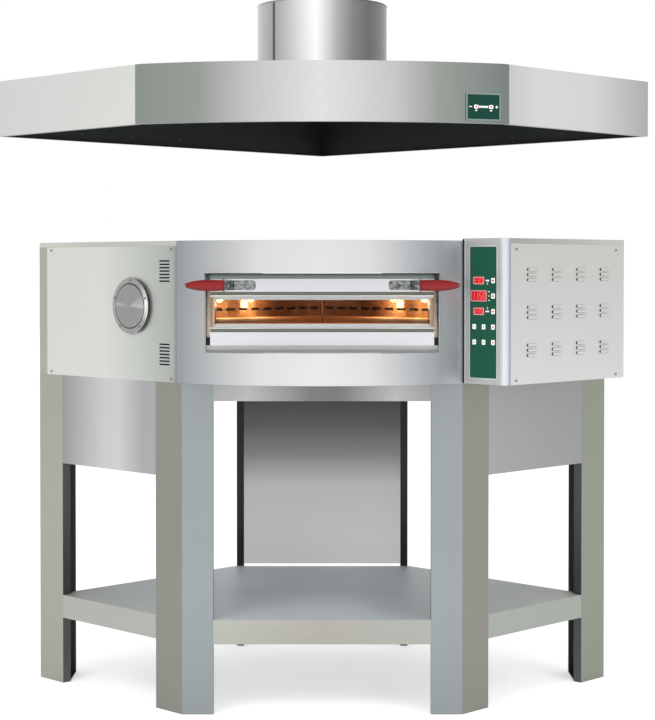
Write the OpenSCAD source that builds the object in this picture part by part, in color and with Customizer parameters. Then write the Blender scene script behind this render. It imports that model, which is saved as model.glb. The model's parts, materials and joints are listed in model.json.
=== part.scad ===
// Corner pizza oven: a baking deck with a bowed front on an open stand, with a matching extraction hood.
// Millimetres, +Z up. The origin is on the floor, midway across the set and midway between
// the bow of the hood and the corner of the room behind it. The user faces +Y.

/* [Plan of the oven] */
// Length of the oven along each wall of the room
oven_wall = 1285; // [1200:5:1340]
// Length of the slanted side between wall and front
oven_side = 700; // [660:5:740]
// How far the front panel bows out ahead of its own ends
facade_bow = 135; // [100:5:150]
// Half width of the flat behind the oven, where its back corner is cut off
oven_cut = 150; // [130:5:180]

/* [Stand] */
// Height of the stand
stand_h = 980; // [900:10:1050]
// Width of a leg on the slanted side and on the wall
leg_face = 120; // [100:2:130]
// Width of a front leg on the front
leg_front = 92; // [80:2:100]
// Depth of the lip folded inwards at each edge of a leg
leg_lip = 30; // [24:1:34]
// Thickness of the leg sheet
leg_t = 2; // [1.5:0.5:3]
// Height of the upper face of the shelf
shelf_z = 280; // [200:10:350]
// Depth of the folded rim of the shelf
shelf_rim = 72; // [50:2:90]
// Distance of the shelf from each wall
shelf_gap = 90; // [80:1:100]
// Height of the panel under the oven on each slanted side
apron_h = 280; // [200:10:320]
// Height of the rails under the oven
rail_h = 53; // [45:1:60]
// Depth of the flanges of the rails
rail_flange = 25; // [22:1:28]
// Half width of the stand at its rear posts
post_x = 298; // [290:1:310]
// Distance of the front of the rear posts behind the ends of the front panel
post_y = 975; // [950:5:985]
// Side of the square rear posts
post_w = 25; // [22:1:30]
// Diameter of the bolts in the stand
bolt_d = 8; // [6:1:10]

/* [Oven casing] */
// Height of the oven
oven_h = 420; // [405:5:450]
// Thickness of the casing sheet
sheet = 1.5; // [1:0.25:2]
// Height of the edge of the roof where it laps down
roof_lap = 15; // [12:1:20]
// Width of the return folded back from each end of the front panel
facade_return = 24; // [18:1:30]
// Width of each face of the rear corner posts
corner_face = 40; // [30:1:50]
// Radius of the round inspection cover
cover_r = 84; // [70:1:95]
// Radius of the raised middle of the inspection cover
cover_boss_r = 66; // [50:1:68]
// Distance of the cover's middle from the front edge of the side
cover_s = 226; // [220:1:260]
// Length of the vent slots in the left side
slot_l = 47; // [35:1:50]
// Height of one vent slot
slot_h = 4.5; // [3:0.5:6]
// Vent slots in each group
slot_count = 7; // [5:1:8]

/* [Mouth and door] */
// Gap between the door and the side of its opening in the front panel
mouth_side = 16; // [12:1:22]
// Height of the opening's lower edge above the oven's underside
mouth_low = 93; // [88:1:98]
// Height of the opening in the front panel
mouth_h = 233; // [228:1:236]
// Width of the door
door_w = 654; // [645:1:658]
// Height of the door
door_h = 194; // [190:1:198]
// Height of the door's lower edge above the opening's lower edge
door_lift = 21; // [19:1:23]
// Thickness of the door
door_t = 34; // [32:1:36]
// Height of the upper and lower rails of the door
door_rail = 38; // [34:1:40]
// Height of the glass strips' frame between rail and glass
glass_bead = 15; // [12:1:16]
// Thickness of a pane
pane_t = 4; // [3:0.5:5]
// Diameter of the door's hinge pins
hinge_d = 8; // [6:1:10]
// Radial play of a hinge pin in its block
hinge_play = 0.05; // [0.03:0.01:0.08]

/* [Handles] */
// Length of a grip
grip_l = 112; // [100:1:115]
// Largest radius of a grip
grip_r = 16.5; // [13:0.5:17]
// Distance of the grip's axis ahead of the door
grip_reach = 54; // [50:1:60]
// Distance of the grip's inner end from the middle of the oven
grip_x = 282; // [278:1:290]

/* [Baking chamber] */
// Insulation between chamber and slanted side
side_insulation = 110; // [100:1:116]
// Insulation between chamber and wall
wall_insulation = 150; // [145:1:170]
// Distance of the chamber's front behind the ends of the front panel
chamber_y = 75; // [65:1:85]
// Height of the baking surface above the oven's underside
sole_z = 169; // [165:1:175]
// Height of the chamber above the baking surface
chamber_h = 160; // [150:1:165]
// Thickness of the baking stones
stone_t = 25; // [18:1:30]
// Distance that the door reaches past the side of the chamber's mouth
door_cover = 11; // [8:1:16]
// Height of the chamber's mouth
throat_h = 118; // [112:1:122]
// Radius of the heating rods
rod_r = 4; // [3:0.5:5]

/* [Control box] */
// Thickness of the control box
box_t = 158; // [150:1:170]
// Length of the control box
box_l = 575; // [560:5:600]
// Width of the shadow gap beside the front panel
box_gap = 6; // [4:1:8]
// Radius of the outer corner of the fascia
fascia_r = 15; // [10:1:16]
// Width of the green keypad sheet
keypad_w = 103; // [100:1:108]
// Height of the green keypad sheet
keypad_h = 386; // [370:1:390]
// Width of a key
key_w = 13; // [10:0.5:15]
// Height of a key
key_h = 15; // [12:0.5:17]
// Travel of a key
key_travel = 0.8; // [0.5:0.1:1]
// Distance between two columns of keys
key_pitch = 35.5; // [34:0.5:36]
// Distance between two rows of keys
key_row = 45; // [40:1:48]
// Length of a louvre in the side of the control box
louvre_l = 46; // [38:1:50]
// Height of a louvre
louvre_h = 9; // [7:0.5:11]

/* [Hood] */
// Length of the hood along each wall of the room
hood_wall = 1450; // [1400:5:1500]
// Length of the slanted side of the hood
hood_side = 710; // [680:5:740]
// How far the hood's front bows out ahead of its own ends
hood_bow = 96; // [80:1:110]
// Height of the hood's skirt
hood_h = 172; // [150:1:200]
// Gap between the top of the oven and the hood
hood_gap = 333; // [300:1:400]
// Width of the lip folded inwards along the skirt
hood_lip = 20; // [15:1:25]
// Outer radius of the duct collar
duct_r = 200; // [190:1:210]
// Height of the duct collar above the hood
duct_h = 224; // [200:1:250]
// Distance of the duct's axis behind the ends of the oven's front panel
duct_y = 300; // [280:1:420]
// Distance between the rivets along the hood's wall panels
rivet_pitch = 210; // [180:1:230]
// Number of fan blades
fan_blades = 6; // [5:1:8]

/* [Hidden] */
$fn = 64;
big_fn = 180;
diag = sqrt(2);
far = 3000;              // reach of a cut that runs past the whole set
touch = 0.2;             // gap between two pieces that are screwed together
clear = 0.3;             // gap between curved or sliding faces
front_steps = 64;        // flats that make up a bowed front

steel = "#c3c6c5";
satin = "#a9adb0";
shade = "#8f9492";
chrome = "#dcdfe2";
green = "#1f5a45";
red = "#9c2531";

// Plan of the oven and of the hood: [half chord of the front, place of that chord, bow, cut at the back]
corner = (oven_wall + oven_side) / diag;           // corner of the room, behind the ends of the front panel
half_front = (oven_wall - oven_side) / diag;
half_outer = oven_wall / diag;
outer_y = corner - half_outer;
oven_plan = [half_front, 0, facade_bow, oven_cut];
hood_half = (hood_wall - hood_side) / diag;
hood_y = corner - (hood_wall + hood_side) / diag;
hood_plan = [hood_half, hood_y, hood_bow, 0];
mid_y = (corner + hood_y - hood_bow) / 2;

// Heights
oven_z = stand_h;
roof_z = oven_z + oven_h;
hood_z = roof_z + hood_gap;
hood_top = hood_z + hood_h;

function unit(v) = v / norm(v);
function left_of(v) = [-v.y, v.x];
function arc_r(plan) = (plan[0] * plan[0] + plan[2] * plan[2]) / (2 * plan[2]);
function arc_y(plan, r, x) = plan[1] + arc_r(plan) - plan[2] - sqrt(r * r - x * x);

// Point i of an outline, moved t to the left of the direction in which the outline runs
function moved(pts, i, t) =
    let (n = len(pts),
         before = i > 0 ? left_of(unit(pts[i] - pts[i - 1])) : left_of(unit(pts[1] - pts[0])),
         after = i < n - 1 ? left_of(unit(pts[i + 1] - pts[i])) : before)
    pts[i] + t * (before + after) / (1 + before * after);
function inner_line(pts, t) = [for (i = [0 : len(pts) - 1]) moved(pts, i, t)];
function reversed(pts) = [for (i = [len(pts) - 1 : -1 : 0]) pts[i]];
function mirrored(pts) = [for (p = reversed(pts)) [-p.x, p.y]];

// Place where the front arc and the slanted side meet, t inside the outer faces
function front_end(plan, t) =
    let (k = plan[0] - plan[1] - t * diag, yc = plan[1] + arc_r(plan) - plan[2], r = arc_r(plan) - t,
         b = k - yc, y = (-b - sqrt(b * b - 2 * (k * k + yc * yc - r * r))) / 2)
    [k + y, y];
// Right half of the outline behind the front arc, t inside the outer faces
function half_outline(plan, t) =
    let (k = plan[0] - plan[1] - t * diag, w = corner - t * diag, back = corner - plan[3] - t)
    concat([front_end(plan, t), [(k + w) / 2, (w - k) / 2]],
           plan[3] > 0 ? [[w - back, back]] : [[0, w]]);

module placed() translate([0, -mid_y, 0]) children();
module both() {
    children();
    mirror([1, 0, 0]) children();
}
// Bent sheet: its outer face follows the points, its thickness lies to their left
module folded(pts, t, h) linear_extrude(h) polygon(concat(pts, reversed(inner_line(pts, t))));
module slab(z, h) translate([0, 0, z]) linear_extrude(h) children();
// Local frames: +X along the side or wall, +Y into the oven
module right_side() translate([half_front, 0, 0]) rotate([0, 0, 45]) children();
module left_side() mirror([1, 0, 0]) right_side() children();
module both_sides() both() right_side() children();

// Points of the front arc from its left to its right end, t inside the outer faces
function front_arc(plan, t) =
    let (r = arc_r(plan) - t, reach = asin(front_end(plan, t).x / r))
    [for (i = [1 : front_steps - 1]) let (a = reach * (2 * i / front_steps - 1))
        [r * sin(a), plan[1] + arc_r(plan) - plan[2] - r * cos(a)]];
module plan_2d(plan, t) {
    half = half_outline(plan, t);
    polygon(concat(half, mirrored(half), front_arc(plan, t)));
}
module ring_2d(plan, from, to) difference() {
    plan_2d(plan, from);
    plan_2d(plan, to);
}
module ahead_of(y) intersection() {
    children();
    translate([-far, y - 2 * far]) square([2 * far, 2 * far]);
}
module behind(y) intersection() {
    children();
    translate([-far, y]) square([2 * far, 2 * far]);
}

// Stand
along = [1, 1] / diag;                 // along the right slanted side, outwards
inward = [-1, 1] / diag;               // from the right slanted side into the oven
outer_corner = [half_outer, outer_y];
front_leg_pts = [[half_front - leg_front, leg_lip], [half_front - leg_front, 0], [half_front, 0],
                 [half_front, 0] + leg_face * along, [half_front, 0] + leg_face * along + leg_lip * inward];
outer_leg_pts = [outer_corner - leg_face * along + leg_lip * inward, outer_corner - leg_face * along,
                 outer_corner, outer_corner + leg_face * inward,
                 outer_corner + leg_face * inward - leg_lip * along];
plate_t = 3;
foot_bolt_d = 11;
rear_w = post_x - post_w - touch;      // half width of the panel between the rear posts
shelf_line = corner - shelf_gap * diag;
bolt_head = bolt_d * 1.6;
bolt_head_h = bolt_d * 0.55;
bolt_y = leg_lip / 2;
bolt_play = 0.15;
apron_from = leg_face + touch;
apron_l = oven_side - 2 * apron_from;
rail_half = half_front - leg_front - touch;

module front_leg() color(satin) folded(front_leg_pts, leg_t, stand_h);
module outer_leg() color(satin) folded(outer_leg_pts, leg_t, stand_h);
module front_leg_right() placed() difference() {
    front_leg();
    right_side() leg_bolt_holes(leg_face);
    front_rail_holes();
}
module front_leg_left() placed() mirror([1, 0, 0]) difference() {
    front_leg();
    right_side() leg_bolt_holes(leg_face);
    front_rail_holes();
}
module outer_leg_right() placed() difference() {
    outer_leg();
    right_side() leg_bolt_holes(oven_side - leg_face);
}
module outer_leg_left() placed() mirror([1, 0, 0]) difference() {
    outer_leg();
    right_side() leg_bolt_holes(oven_side - leg_face);
}

// Heights of the bolts through the lips of the legs: two in the apron, one in the rim of the shelf
apron_bolt_z = [stand_h - apron_h * 0.85, stand_h - apron_h * 0.15];
shelf_bolt_z = shelf_z - shelf_rim / 2;
side_bolt_z = concat(apron_bolt_z, [shelf_bolt_z]);
front_bolt_z = [stand_h - rail_h / 2, shelf_bolt_z];
module along_x(r, from, to) translate([from, 0, 0]) rotate([0, 90, 0]) cylinder(r = r, h = to - from);
module leg_bolt_holes(x) for (z = side_bolt_z)
    translate([0, bolt_y, z]) along_x(bolt_d / 2 + bolt_play, x - 2 * leg_t, x + 2 * leg_t);
module front_rail_holes() for (z = front_bolt_z) translate([0, bolt_y, z])
    along_x(bolt_d / 2 + bolt_play, rail_half - 2 * leg_t, rail_half + 2 * leg_t);

module rear_posts() placed() color(satin) both() difference() {
    translate([post_x - post_w, post_y, 0]) cube([post_w, post_w, stand_h]);
    translate([post_x - post_w + leg_t, post_y + leg_t, plate_t])
        cube([post_w - 2 * leg_t, post_w - 2 * leg_t, stand_h]);
}

module foot_plate(pts) difference() {
    linear_extrude(plate_t) polygon(inner_line(pts, leg_t + touch));
    middle = (pts[1] + pts[2] + pts[3]) / 3;
    translate([middle.x, middle.y, -plate_t]) cylinder(d = foot_bolt_d, h = 3 * plate_t);
}
module foot_plates() placed() color(shade) both() {
    foot_plate(front_leg_pts);
    foot_plate(outer_leg_pts);
}

// Shelf between the legs: flat top, rims flush with the faces of the legs, notched round each leg
module shelf_plate_2d() difference() {
    k = half_front;
    polygon([[-k, 0], [k, 0], [(k + shelf_line) / 2, (shelf_line - k) / 2],
             [shelf_line - post_y + touch, post_y - touch], [-shelf_line + post_y - touch, post_y - touch],
             [-(k + shelf_line) / 2, (shelf_line - k) / 2]]);
    both() {
        polygon(inner_line(front_leg_pts, -touch));
        polygon(inner_line(outer_leg_pts, -touch));
    }
}
module shelf_rim(length, ends) {
    translate([0, 0, shelf_z - shelf_rim]) {
        cube([length, sheet, shelf_rim]);
        if (ends) for (x = [0, length - leg_t]) translate([x, 0, 0]) cube([leg_t, leg_lip, shelf_rim]);
    }
}
module lower_shelf() placed() color(satin) difference() {
    union() {
        slab(shelf_z - sheet, sheet) shelf_plate_2d();
        translate([-rail_half, 0, 0]) shelf_rim(2 * rail_half, true);
        both_sides() translate([apron_from, 0, 0]) shelf_rim(apron_l, true);
        both() translate([shelf_line - post_y, post_y - touch, 0]) rotate([0, 0, 180])
            translate([0, 0, shelf_z - shelf_rim]) cube([shelf_line - post_y, sheet, shelf_rim]);
    }
    both() {
        right_side() {
            leg_bolt_holes(leg_face);
            leg_bolt_holes(oven_side - leg_face);
        }
        front_rail_holes();
    }
}

// Channel rail: face, upper and lower flange and a tab at each end
module channel(length, flange, h, tabs) difference() {
    cube([length, flange, h]);
    translate([tabs ? leg_t : -1, leg_t, leg_t])
        cube([length - (tabs ? 2 * leg_t : -2), flange, h - 2 * leg_t]);
}
wall_rail_l = ((half_outer - post_x) + (post_y - outer_y)) / diag - leg_t - 2 * touch;
module top_rails() placed() color(satin) difference() {
    translate([0, 0, stand_h - rail_h]) {
        translate([-rail_half, 0, 0]) channel(2 * rail_half, rail_flange, rail_h, true);
        both() translate([outer_corner.x, outer_corner.y, 0]) rotate([0, 0, 135])
            translate([leg_t + touch, shelf_gap, 0]) channel(wall_rail_l, rail_flange, rail_h, true);
    }
    both() front_rail_holes();
}

module side_aprons() placed() color(satin) both_sides() difference() {
    translate([apron_from, 0, stand_h - apron_h]) channel(apron_l, rail_flange, apron_h, true);
    leg_bolt_holes(leg_face);
    leg_bolt_holes(oven_side - leg_face);
}

rear_gap = 8;                          // shadow gap between shelf and rear panel
rear_tab = post_w * 0.8;
module stand_rear_panel() placed() color(satin) translate([0, 0, shelf_z + rear_gap])
    folded([[rear_w, post_y + rear_tab], [rear_w, post_y], [-rear_w, post_y], [-rear_w, post_y + rear_tab]],
           -sheet, stand_h - shelf_z - rear_gap);

// Bolt with its nut, through the lip of a leg (at 0 to -leg_t) and the tab beside it
module lip_bolt() {
    along_x(bolt_d / 2, -leg_t - bolt_head_h, leg_t + touch + bolt_head_h * 1.6);
    along_x(bolt_head / 2, -leg_t - bolt_head_h, -leg_t, $fn = 6);
    along_x(bolt_head / 2, leg_t + touch, leg_t + touch + bolt_head_h * 1.6, $fn = 6);
}
module stand_bolts() placed() color(chrome) both() {
    right_side() for (z = side_bolt_z) translate([0, bolt_y, z]) {
        translate([leg_face, 0, 0]) lip_bolt();
        translate([oven_side - leg_face, 0, 0]) mirror([1, 0, 0]) lip_bolt();
    }
    for (z = front_bolt_z) translate([half_front - leg_front, bolt_y, z]) mirror([1, 0, 0]) lip_bolt();
}

// Oven casing
mouth_half_w = door_w / 2 + mouth_side;
throat_half_w = door_w / 2 - door_cover;
lap_z = roof_z - roof_lap;             // lower edge of the lap of the roof
tray_rim = 20;
side_from = facade_return + touch;
side_to = oven_side - corner_face - touch;
side_edge = 15;                        // fold at the front and rear edge of a side panel
screw_r = 4;
screw_l = 7;
screw_inset = 23;
screw_margin = 10;                     // distance of the casing screws from the edges of a panel
cover_z = oven_z + oven_h * 0.535;
cover_neck_r = cover_boss_r + 3;
neck_t = 2;
cover_gap = 3;                         // gap between the cover and the edge of its opening
cover_t = 4;
cover_boss_h = 2;
cover_screw_ring = (cover_boss_r + cover_r) / 2 + 2;
cover_stand = 9;                       // how far the cover stands off the panel
cover_screws = 5;
slot_pitch = 10;
slot_from = 55;
slot_low = 50;                         // height of the lowest slot above the oven's underside
slot_high = 122;                       // depth of the upper group's lowest slot below the oven's top
slot_groups = [slot_low, oven_h - slot_high];
insulation_inset = side_edge + touch;

module base_tray() placed() color(satin) difference() {
    union() {
        slab(oven_z, sheet) plan_2d(oven_plan, sheet + clear);
        slab(oven_z, tray_rim) ring_2d(oven_plan, sheet + clear, 2 * sheet + clear);
    }
    left_side() side_screw_holes();
}
module on_side_screws()
    panel_screw_places(side_from + screw_inset, side_to - screw_inset, side_low, side_high) children();
module side_screw_holes() on_side_screws() rotate([-90, 0, 0]) translate([0, 0, -sheet])
    cylinder(r = screw_r / 2 + clear, h = screw_l);

module curved_facade() placed() color(satin) difference() {
    slab(oven_z, oven_h) ahead_of(facade_return / diag) ring_2d(oven_plan, 0, sheet);
    translate([-mouth_half_w, -far / 2, oven_z + mouth_low]) cube([2 * mouth_half_w, far / 2, mouth_h]);
}

panel_h = lap_z - oven_z - touch;
side_plan = [[side_from, side_edge], [side_from, 0], [side_to, 0], [side_to, side_edge]];
module side_panel() translate([0, 0, oven_z]) difference() {
    folded(side_plan, sheet, panel_h);
    translate([side_from - 1, sheet, -1]) cube([side_to - side_from + 2, side_edge, tray_rim + touch + 1]);
}
module panel_screw_places(from, to, low, high)
    for (x = [from, to], z = [low, high]) translate([x, 0, z]) children();
side_low = oven_z + screw_margin;
side_high = lap_z - screw_margin - touch;
module side_panels() placed() color(steel) {
    left_side() difference() {
        side_panel();
        side_screw_holes();
        translate([cover_s, -sheet, cover_z]) rotate([-90, 0, 0])
            cylinder(r = cover_r + cover_gap, h = 4 * sheet);
        for (group = slot_groups, i = [0 : slot_count - 1])
            translate([slot_from, -sheet, oven_z + group + i * slot_pitch]) cube([slot_l, 4 * sheet, slot_h]);
    }
    right_side() side_panel();
}

module corner_posts() placed() color(steel) both() translate([0, 0, oven_z])
    folded([outer_corner - corner_face * along, outer_corner, outer_corner + corner_face * inward],
           sheet, panel_h);

module roof_cover() placed() color(steel) {
    slab(roof_z - sheet, sheet) union() {
        plan_2d(oven_plan, sheet + clear);
        behind((facade_return + 1) / diag) plan_2d(oven_plan, 0);
    }
    slab(lap_z, roof_lap - sheet) behind((facade_return + 1) / diag) ring_2d(oven_plan, 0, sheet);
}

wall_from = corner_face + touch;
wall_to = oven_wall - oven_cut * diag - touch;
module wall_panels() placed() color(steel) translate([0, 0, oven_z]) {
    rear_half = oven_cut - sheet / diag - touch;
    both() folded([outer_corner + wall_from * inward, outer_corner + wall_to * inward], sheet, panel_h);
    translate([-rear_half, corner - oven_cut - sheet, 0]) cube([2 * rear_half, sheet, panel_h]);
}

module inspection_cover() placed() color(chrome) left_side() translate([cover_s, 0, cover_z])
    rotate([90, 0, 0]) difference() {
        union() {
            translate([0, 0, touch - insulation_inset])
                cylinder(r = cover_neck_r, h = insulation_inset + cover_stand);
            translate([0, 0, cover_stand]) cylinder(r = cover_r, h = cover_t);
            translate([0, 0, cover_stand + cover_t])
                cylinder(r1 = cover_boss_r + cover_boss_h, r2 = cover_boss_r, h = cover_boss_h);
        }
        translate([0, 0, -insulation_inset])
            cylinder(r = cover_neck_r - neck_t, h = insulation_inset + cover_stand);
        on_cover_screws() translate([0, 0, -2 * cover_t]) cylinder(r = screw_r / 2 + clear, h = 3 * cover_t);
    }
module on_cover_screws() for (i = [0 : cover_screws - 1]) rotate([0, 0, 90 + i * 360 / cover_screws])
    translate([cover_screw_ring, 0, cover_stand + cover_t]) children();

// Pan-head screw along +Z, its head above 0
module pan_screw(shank = screw_l) {
    cylinder(r1 = screw_r, r2 = screw_r * 0.7, h = screw_r * 0.55);
    translate([0, 0, -shank]) cylinder(r = screw_r / 2, h = shank);
}
module casing_screws() placed() color(chrome) {
    left_side() {
        on_side_screws() rotate([90, 0, 0]) pan_screw();
        translate([cover_s, 0, cover_z]) rotate([90, 0, 0])
            on_cover_screws() pan_screw(cover_t);
    }
    right_side() translate([0, -box_reach, 0])
        panel_screw_places(box_screw_from, box_screw_to, box_screw_low, box_screw_high)
            rotate([90, 0, 0]) pan_screw();
}

// Baking chamber
frame_t = 2;
channel_w = 12;                        // steam channel behind the slotted walls of the chamber
support_h = 30;                        // height of the bars under the baking stones
support_w = 8;
stone_gap = 2;
rod_pitch = 120;
rod_first = 60;
rod_drop = 22;                         // distance of the upper rods below the ceiling
steam_slot_l = 40;
steam_slot_h = 8;
steam_slot_pitch = 58;
steam_slot_up = 24;                    // distance of the steam slots above the baking surface
lamp_places = [352, 498];              // distances of the lamps from the rear corner of the chamber
lamp_up = 72;
lamp_r = 20;
lamp_neck_r = 16;
lamp_body = 40;
lamp_dome = 10;                        // how far the lens of a lamp stands out of the wall
throat_z = oven_z + sole_z;
ceiling_z = throat_z + chamber_h;
chamber_floor_z = throat_z - stone_t - support_h;
chamber_side = half_front - side_insulation * diag;      // x - y along the side walls of the chamber
chamber_back = corner - wall_insulation * diag;          // x + y along its rear walls
chamber_wall_l = (chamber_side + chamber_back) / diag;
steam_slot_places = [steam_slot_pitch / 3 : steam_slot_pitch : chamber_wall_l - steam_slot_pitch];

// Outline of the chamber, t inside its side and front walls and w inside its rear walls
function chamber_half(t, w) =
    let (k = chamber_side - t * diag, b = chamber_back - w * diag, y = chamber_y + t)
    [[k + y, y], [(k + b) / 2, (b - k) / 2], [0, b]];
module chamber_2d(t, w) {
    half = chamber_half(t, w);
    polygon(concat(half, mirrored(half)));
}
module rear_wall_frame() both() translate([0, chamber_back, 0]) rotate([0, 0, -45]) children();
module bars(y, width, reach, z, h) intersection() {
    translate([-far, y, z]) cube([2 * far, width, h]);
    translate([0, 0, z]) linear_extrude(h) chamber_2d(reach, reach);
}
rod_rows = [for (y = [chamber_y + rod_first : rod_pitch : chamber_back - rod_pitch]) y];

module chamber_shell() placed() color(steel) {
    difference() {
        slab(chamber_floor_z - sheet, ceiling_z - chamber_floor_z + 2 * sheet) chamber_2d(0, 0);
        slab(chamber_floor_z, ceiling_z - chamber_floor_z) chamber_2d(sheet, sheet);
        throat(0, chamber_y - sheet, 4 * sheet);
        rear_wall_frame() {
            for (x = steam_slot_places) translate([x, -2 * sheet, throat_z + steam_slot_up])
                    cube([steam_slot_l, 4 * sheet, steam_slot_h]);
            for (x = lamp_places) translate([x, -2 * sheet, throat_z + lamp_up]) rotate([-90, 0, 0])
                cylinder(r = lamp_neck_r + clear, h = 4 * sheet);
        }
    }
    for (y = rod_rows)
        bars(y + rod_pitch / 2, support_w, sheet / 2, chamber_floor_z - sheet / 2, support_h + sheet / 2);
}

module baking_stones() placed() color("#c9b79a") difference() {
    slab(throat_z - stone_t, stone_t) chamber_2d(sheet + stone_gap, sheet + stone_gap);
    translate([-stone_gap / 2, 0, 0]) cube([stone_gap, far, far]);
    translate([-far / 2, (chamber_y + chamber_back) / 2, 0]) cube([far, stone_gap, far]);
}

// Half the clear width of the chamber at depth y
function half_width(y) = min(chamber_side + y, chamber_back - y) - sheet * diag - rod_r - clear;
module heating_elements() placed() color("#6a5046") for (y = rod_rows) {
    translate([0, y, ceiling_z - rod_drop]) along_x(rod_r, -half_width(y), half_width(y));
    translate([0, y, chamber_floor_z + support_h / 2]) along_x(rod_r, -half_width(y), half_width(y));
}

module insulation() placed() color("#e6dfc8") difference() {
    slab(oven_z + sheet + touch, oven_h - 2 * sheet - 2 * touch)
        behind(chamber_y) plan_2d(oven_plan, insulation_inset);
    slab(chamber_floor_z - sheet - touch, ceiling_z - chamber_floor_z + 2 * sheet + 2 * touch)
        chamber_2d(-1, -channel_w);
    rear_wall_frame() for (x = lamp_places) translate([x, -1, throat_z + lamp_up]) rotate([-90, 0, 0])
        cylinder(r = lamp_r, h = lamp_body + 2);
}

module chamber_lamps() placed() color("#ffd9a0") rear_wall_frame() for (x = lamp_places)
    translate([x, -sheet - lamp_dome, throat_z + lamp_up]) rotate([-90, 0, 0]) {
        cylinder(r1 = lamp_r * 0.6, r2 = lamp_r, h = lamp_dome - touch);
        cylinder(r = lamp_neck_r, h = lamp_body);
    }

// Mouth: frame between the front panel and the chamber
door_z = oven_z + mouth_low + door_lift;
mouth_z = oven_z + mouth_low;
door_face_y = arc_y(oven_plan, arc_r(oven_plan), mouth_half_w);
seal_t = 14;
seal_w = 8;
mouth_back_y = door_face_y + door_t + seal_t + clear;
mouth_inner = mouth_half_w - clear - frame_t;
cove_r = 16;

module throat(wall, y, length) translate([-throat_half_w - wall, y, throat_z - wall])
    cube([2 * (throat_half_w + wall), length, throat_h + 2 * wall]);
module mouth_frame() placed() color(chrome) {
    difference() {
        intersection() {
            translate([-mouth_half_w + clear, -far, mouth_z + clear])
                cube([2 * (mouth_half_w - clear), far + mouth_back_y + frame_t, mouth_h - 2 * clear]);
            translate([0, arc_r(oven_plan) - facade_bow, 0])
                cylinder(r = arc_r(oven_plan), h = far, $fn = big_fn);
        }
        difference() {
            translate([-mouth_inner, -far, mouth_z + clear + frame_t])
                cube([2 * mouth_inner, far + mouth_back_y, mouth_h - 2 * clear - 2 * frame_t]);
            translate([-far / 2, mouth_back_y - cove_r, mouth_z + clear]) difference() {
                cube([far, 2 * cove_r, frame_t + cove_r]);
                translate([0, 0, frame_t + cove_r]) along_x(cove_r, -1, far + 1);
            }
        }
        throat(0, mouth_back_y - frame_t, 4 * frame_t);
    }
    difference() {
        throat(frame_t, mouth_back_y + frame_t / 2, chamber_y - touch - mouth_back_y - frame_t / 2);
        throat(0, mouth_back_y - frame_t, far);
    }
}

// Door: place of its own frame is the lower edge of its face; +Y runs through its thickness
stile_w = 12;
skin_t = 2;
groove_d = 12;
groove_h = 9;
bead_d = 4;
glass_d = 20;
pane_hold = 6;                         // how far a pane reaches under its bead
hinge_back = 22;
hinge_up = 10;
hinge_y = door_face_y + hinge_back;
hinge_z = door_z + hinge_up;
glass_low = door_rail + groove_h + glass_bead;
pane_places = [glass_d + 1, door_t - pane_t - skin_t];
handle_z = door_z + door_h - door_rail / 2;
bracket_t = 3;
bracket_h = 28;
arm_gap = 6;                           // distance between the arm of a bracket and its grip
arm_x = grip_x - arm_gap;
bracket_to = grip_x - 24;
bracket_from = bracket_to - 64;
bracket_screws = [bracket_from + 10, bracket_to - 14];

module at_door() translate([0, door_face_y, door_z]) children();
module rail_2d() polygon([[0, 0], [door_t, 0], [door_t, glass_low], [glass_d, glass_low],
                          [bead_d, glass_low - glass_bead], [groove_d, glass_low - glass_bead],
                          [groove_d, door_rail], [0, door_rail]]);
module door_rail_bar() difference() {
    translate([-door_w / 2, 0, 0]) rotate([90, 0, 90]) linear_extrude(door_w) rail_2d();
    translate([-door_w / 2 + stile_w, skin_t, skin_t])
        cube([door_w - 2 * stile_w, door_t - 2 * skin_t, door_rail - 2 * skin_t]);
}
module panes(play) for (d = pane_places) {
    side = stile_w - pane_hold - play;
    low = glass_low - pane_hold - play;
    translate([-door_w / 2 + side, d - play, low])
        cube([door_w - 2 * side, pane_t + 2 * play, door_h - 2 * low]);
}
module door_frame() placed() color(chrome) difference() {
    at_door() difference() {
        union() {
            door_rail_bar();
            translate([0, 0, door_h]) mirror([0, 0, 1]) door_rail_bar();
            for (x = [-door_w / 2, door_w / 2 - stile_w]) translate([x, groove_d, skin_t])
                cube([stile_w, door_t - groove_d, door_h - 2 * skin_t]);
        }
        panes(clear);
        both() for (x = bracket_screws) translate([x, -1, door_h - door_rail / 2]) rotate([-90, 0, 0])
            cylinder(r = screw_r / 2 + clear, h = 2 * skin_t);
    }
    translate([0, hinge_y, hinge_z]) both()
        along_x(hinge_d / 2 + hinge_play, door_w / 2 - stile_w - 1, door_w / 2 + 1);
}
module door_glass() placed() color("#d9a86a", 0.35) at_door() panes(0);

module door_seal() placed() color("#5c5c58") {
    low = throat_z - door_z - 3;
    high = low + throat_h + 6;
    half = door_w / 2 - 1;
    at_door() difference() {
        translate([-half, door_t, low - seal_w]) cube([2 * half, seal_t, high - low + 2 * seal_w]);
        translate([-half + seal_w, door_t - 1, low]) cube([2 * (half - seal_w), seal_t + 2, high - low]);
    }
}

module hinge_pins() placed() color(steel) translate([0, hinge_y, hinge_z]) both()
    along_x(hinge_d / 2, door_w / 2 - stile_w + touch, mouth_inner - touch);
hinge_block = 22;
module hinge_blocks() placed() color("#4a4a48") both() difference() {
    translate([door_w / 2 + 1, hinge_y - hinge_block / 2, hinge_z - hinge_block / 2])
        cube([mouth_inner - door_w / 2 - 1, hinge_block, hinge_block]);
    translate([0, hinge_y, hinge_z]) along_x(hinge_d / 2 + hinge_play, door_w / 2, mouth_inner + 1);
}

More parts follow.
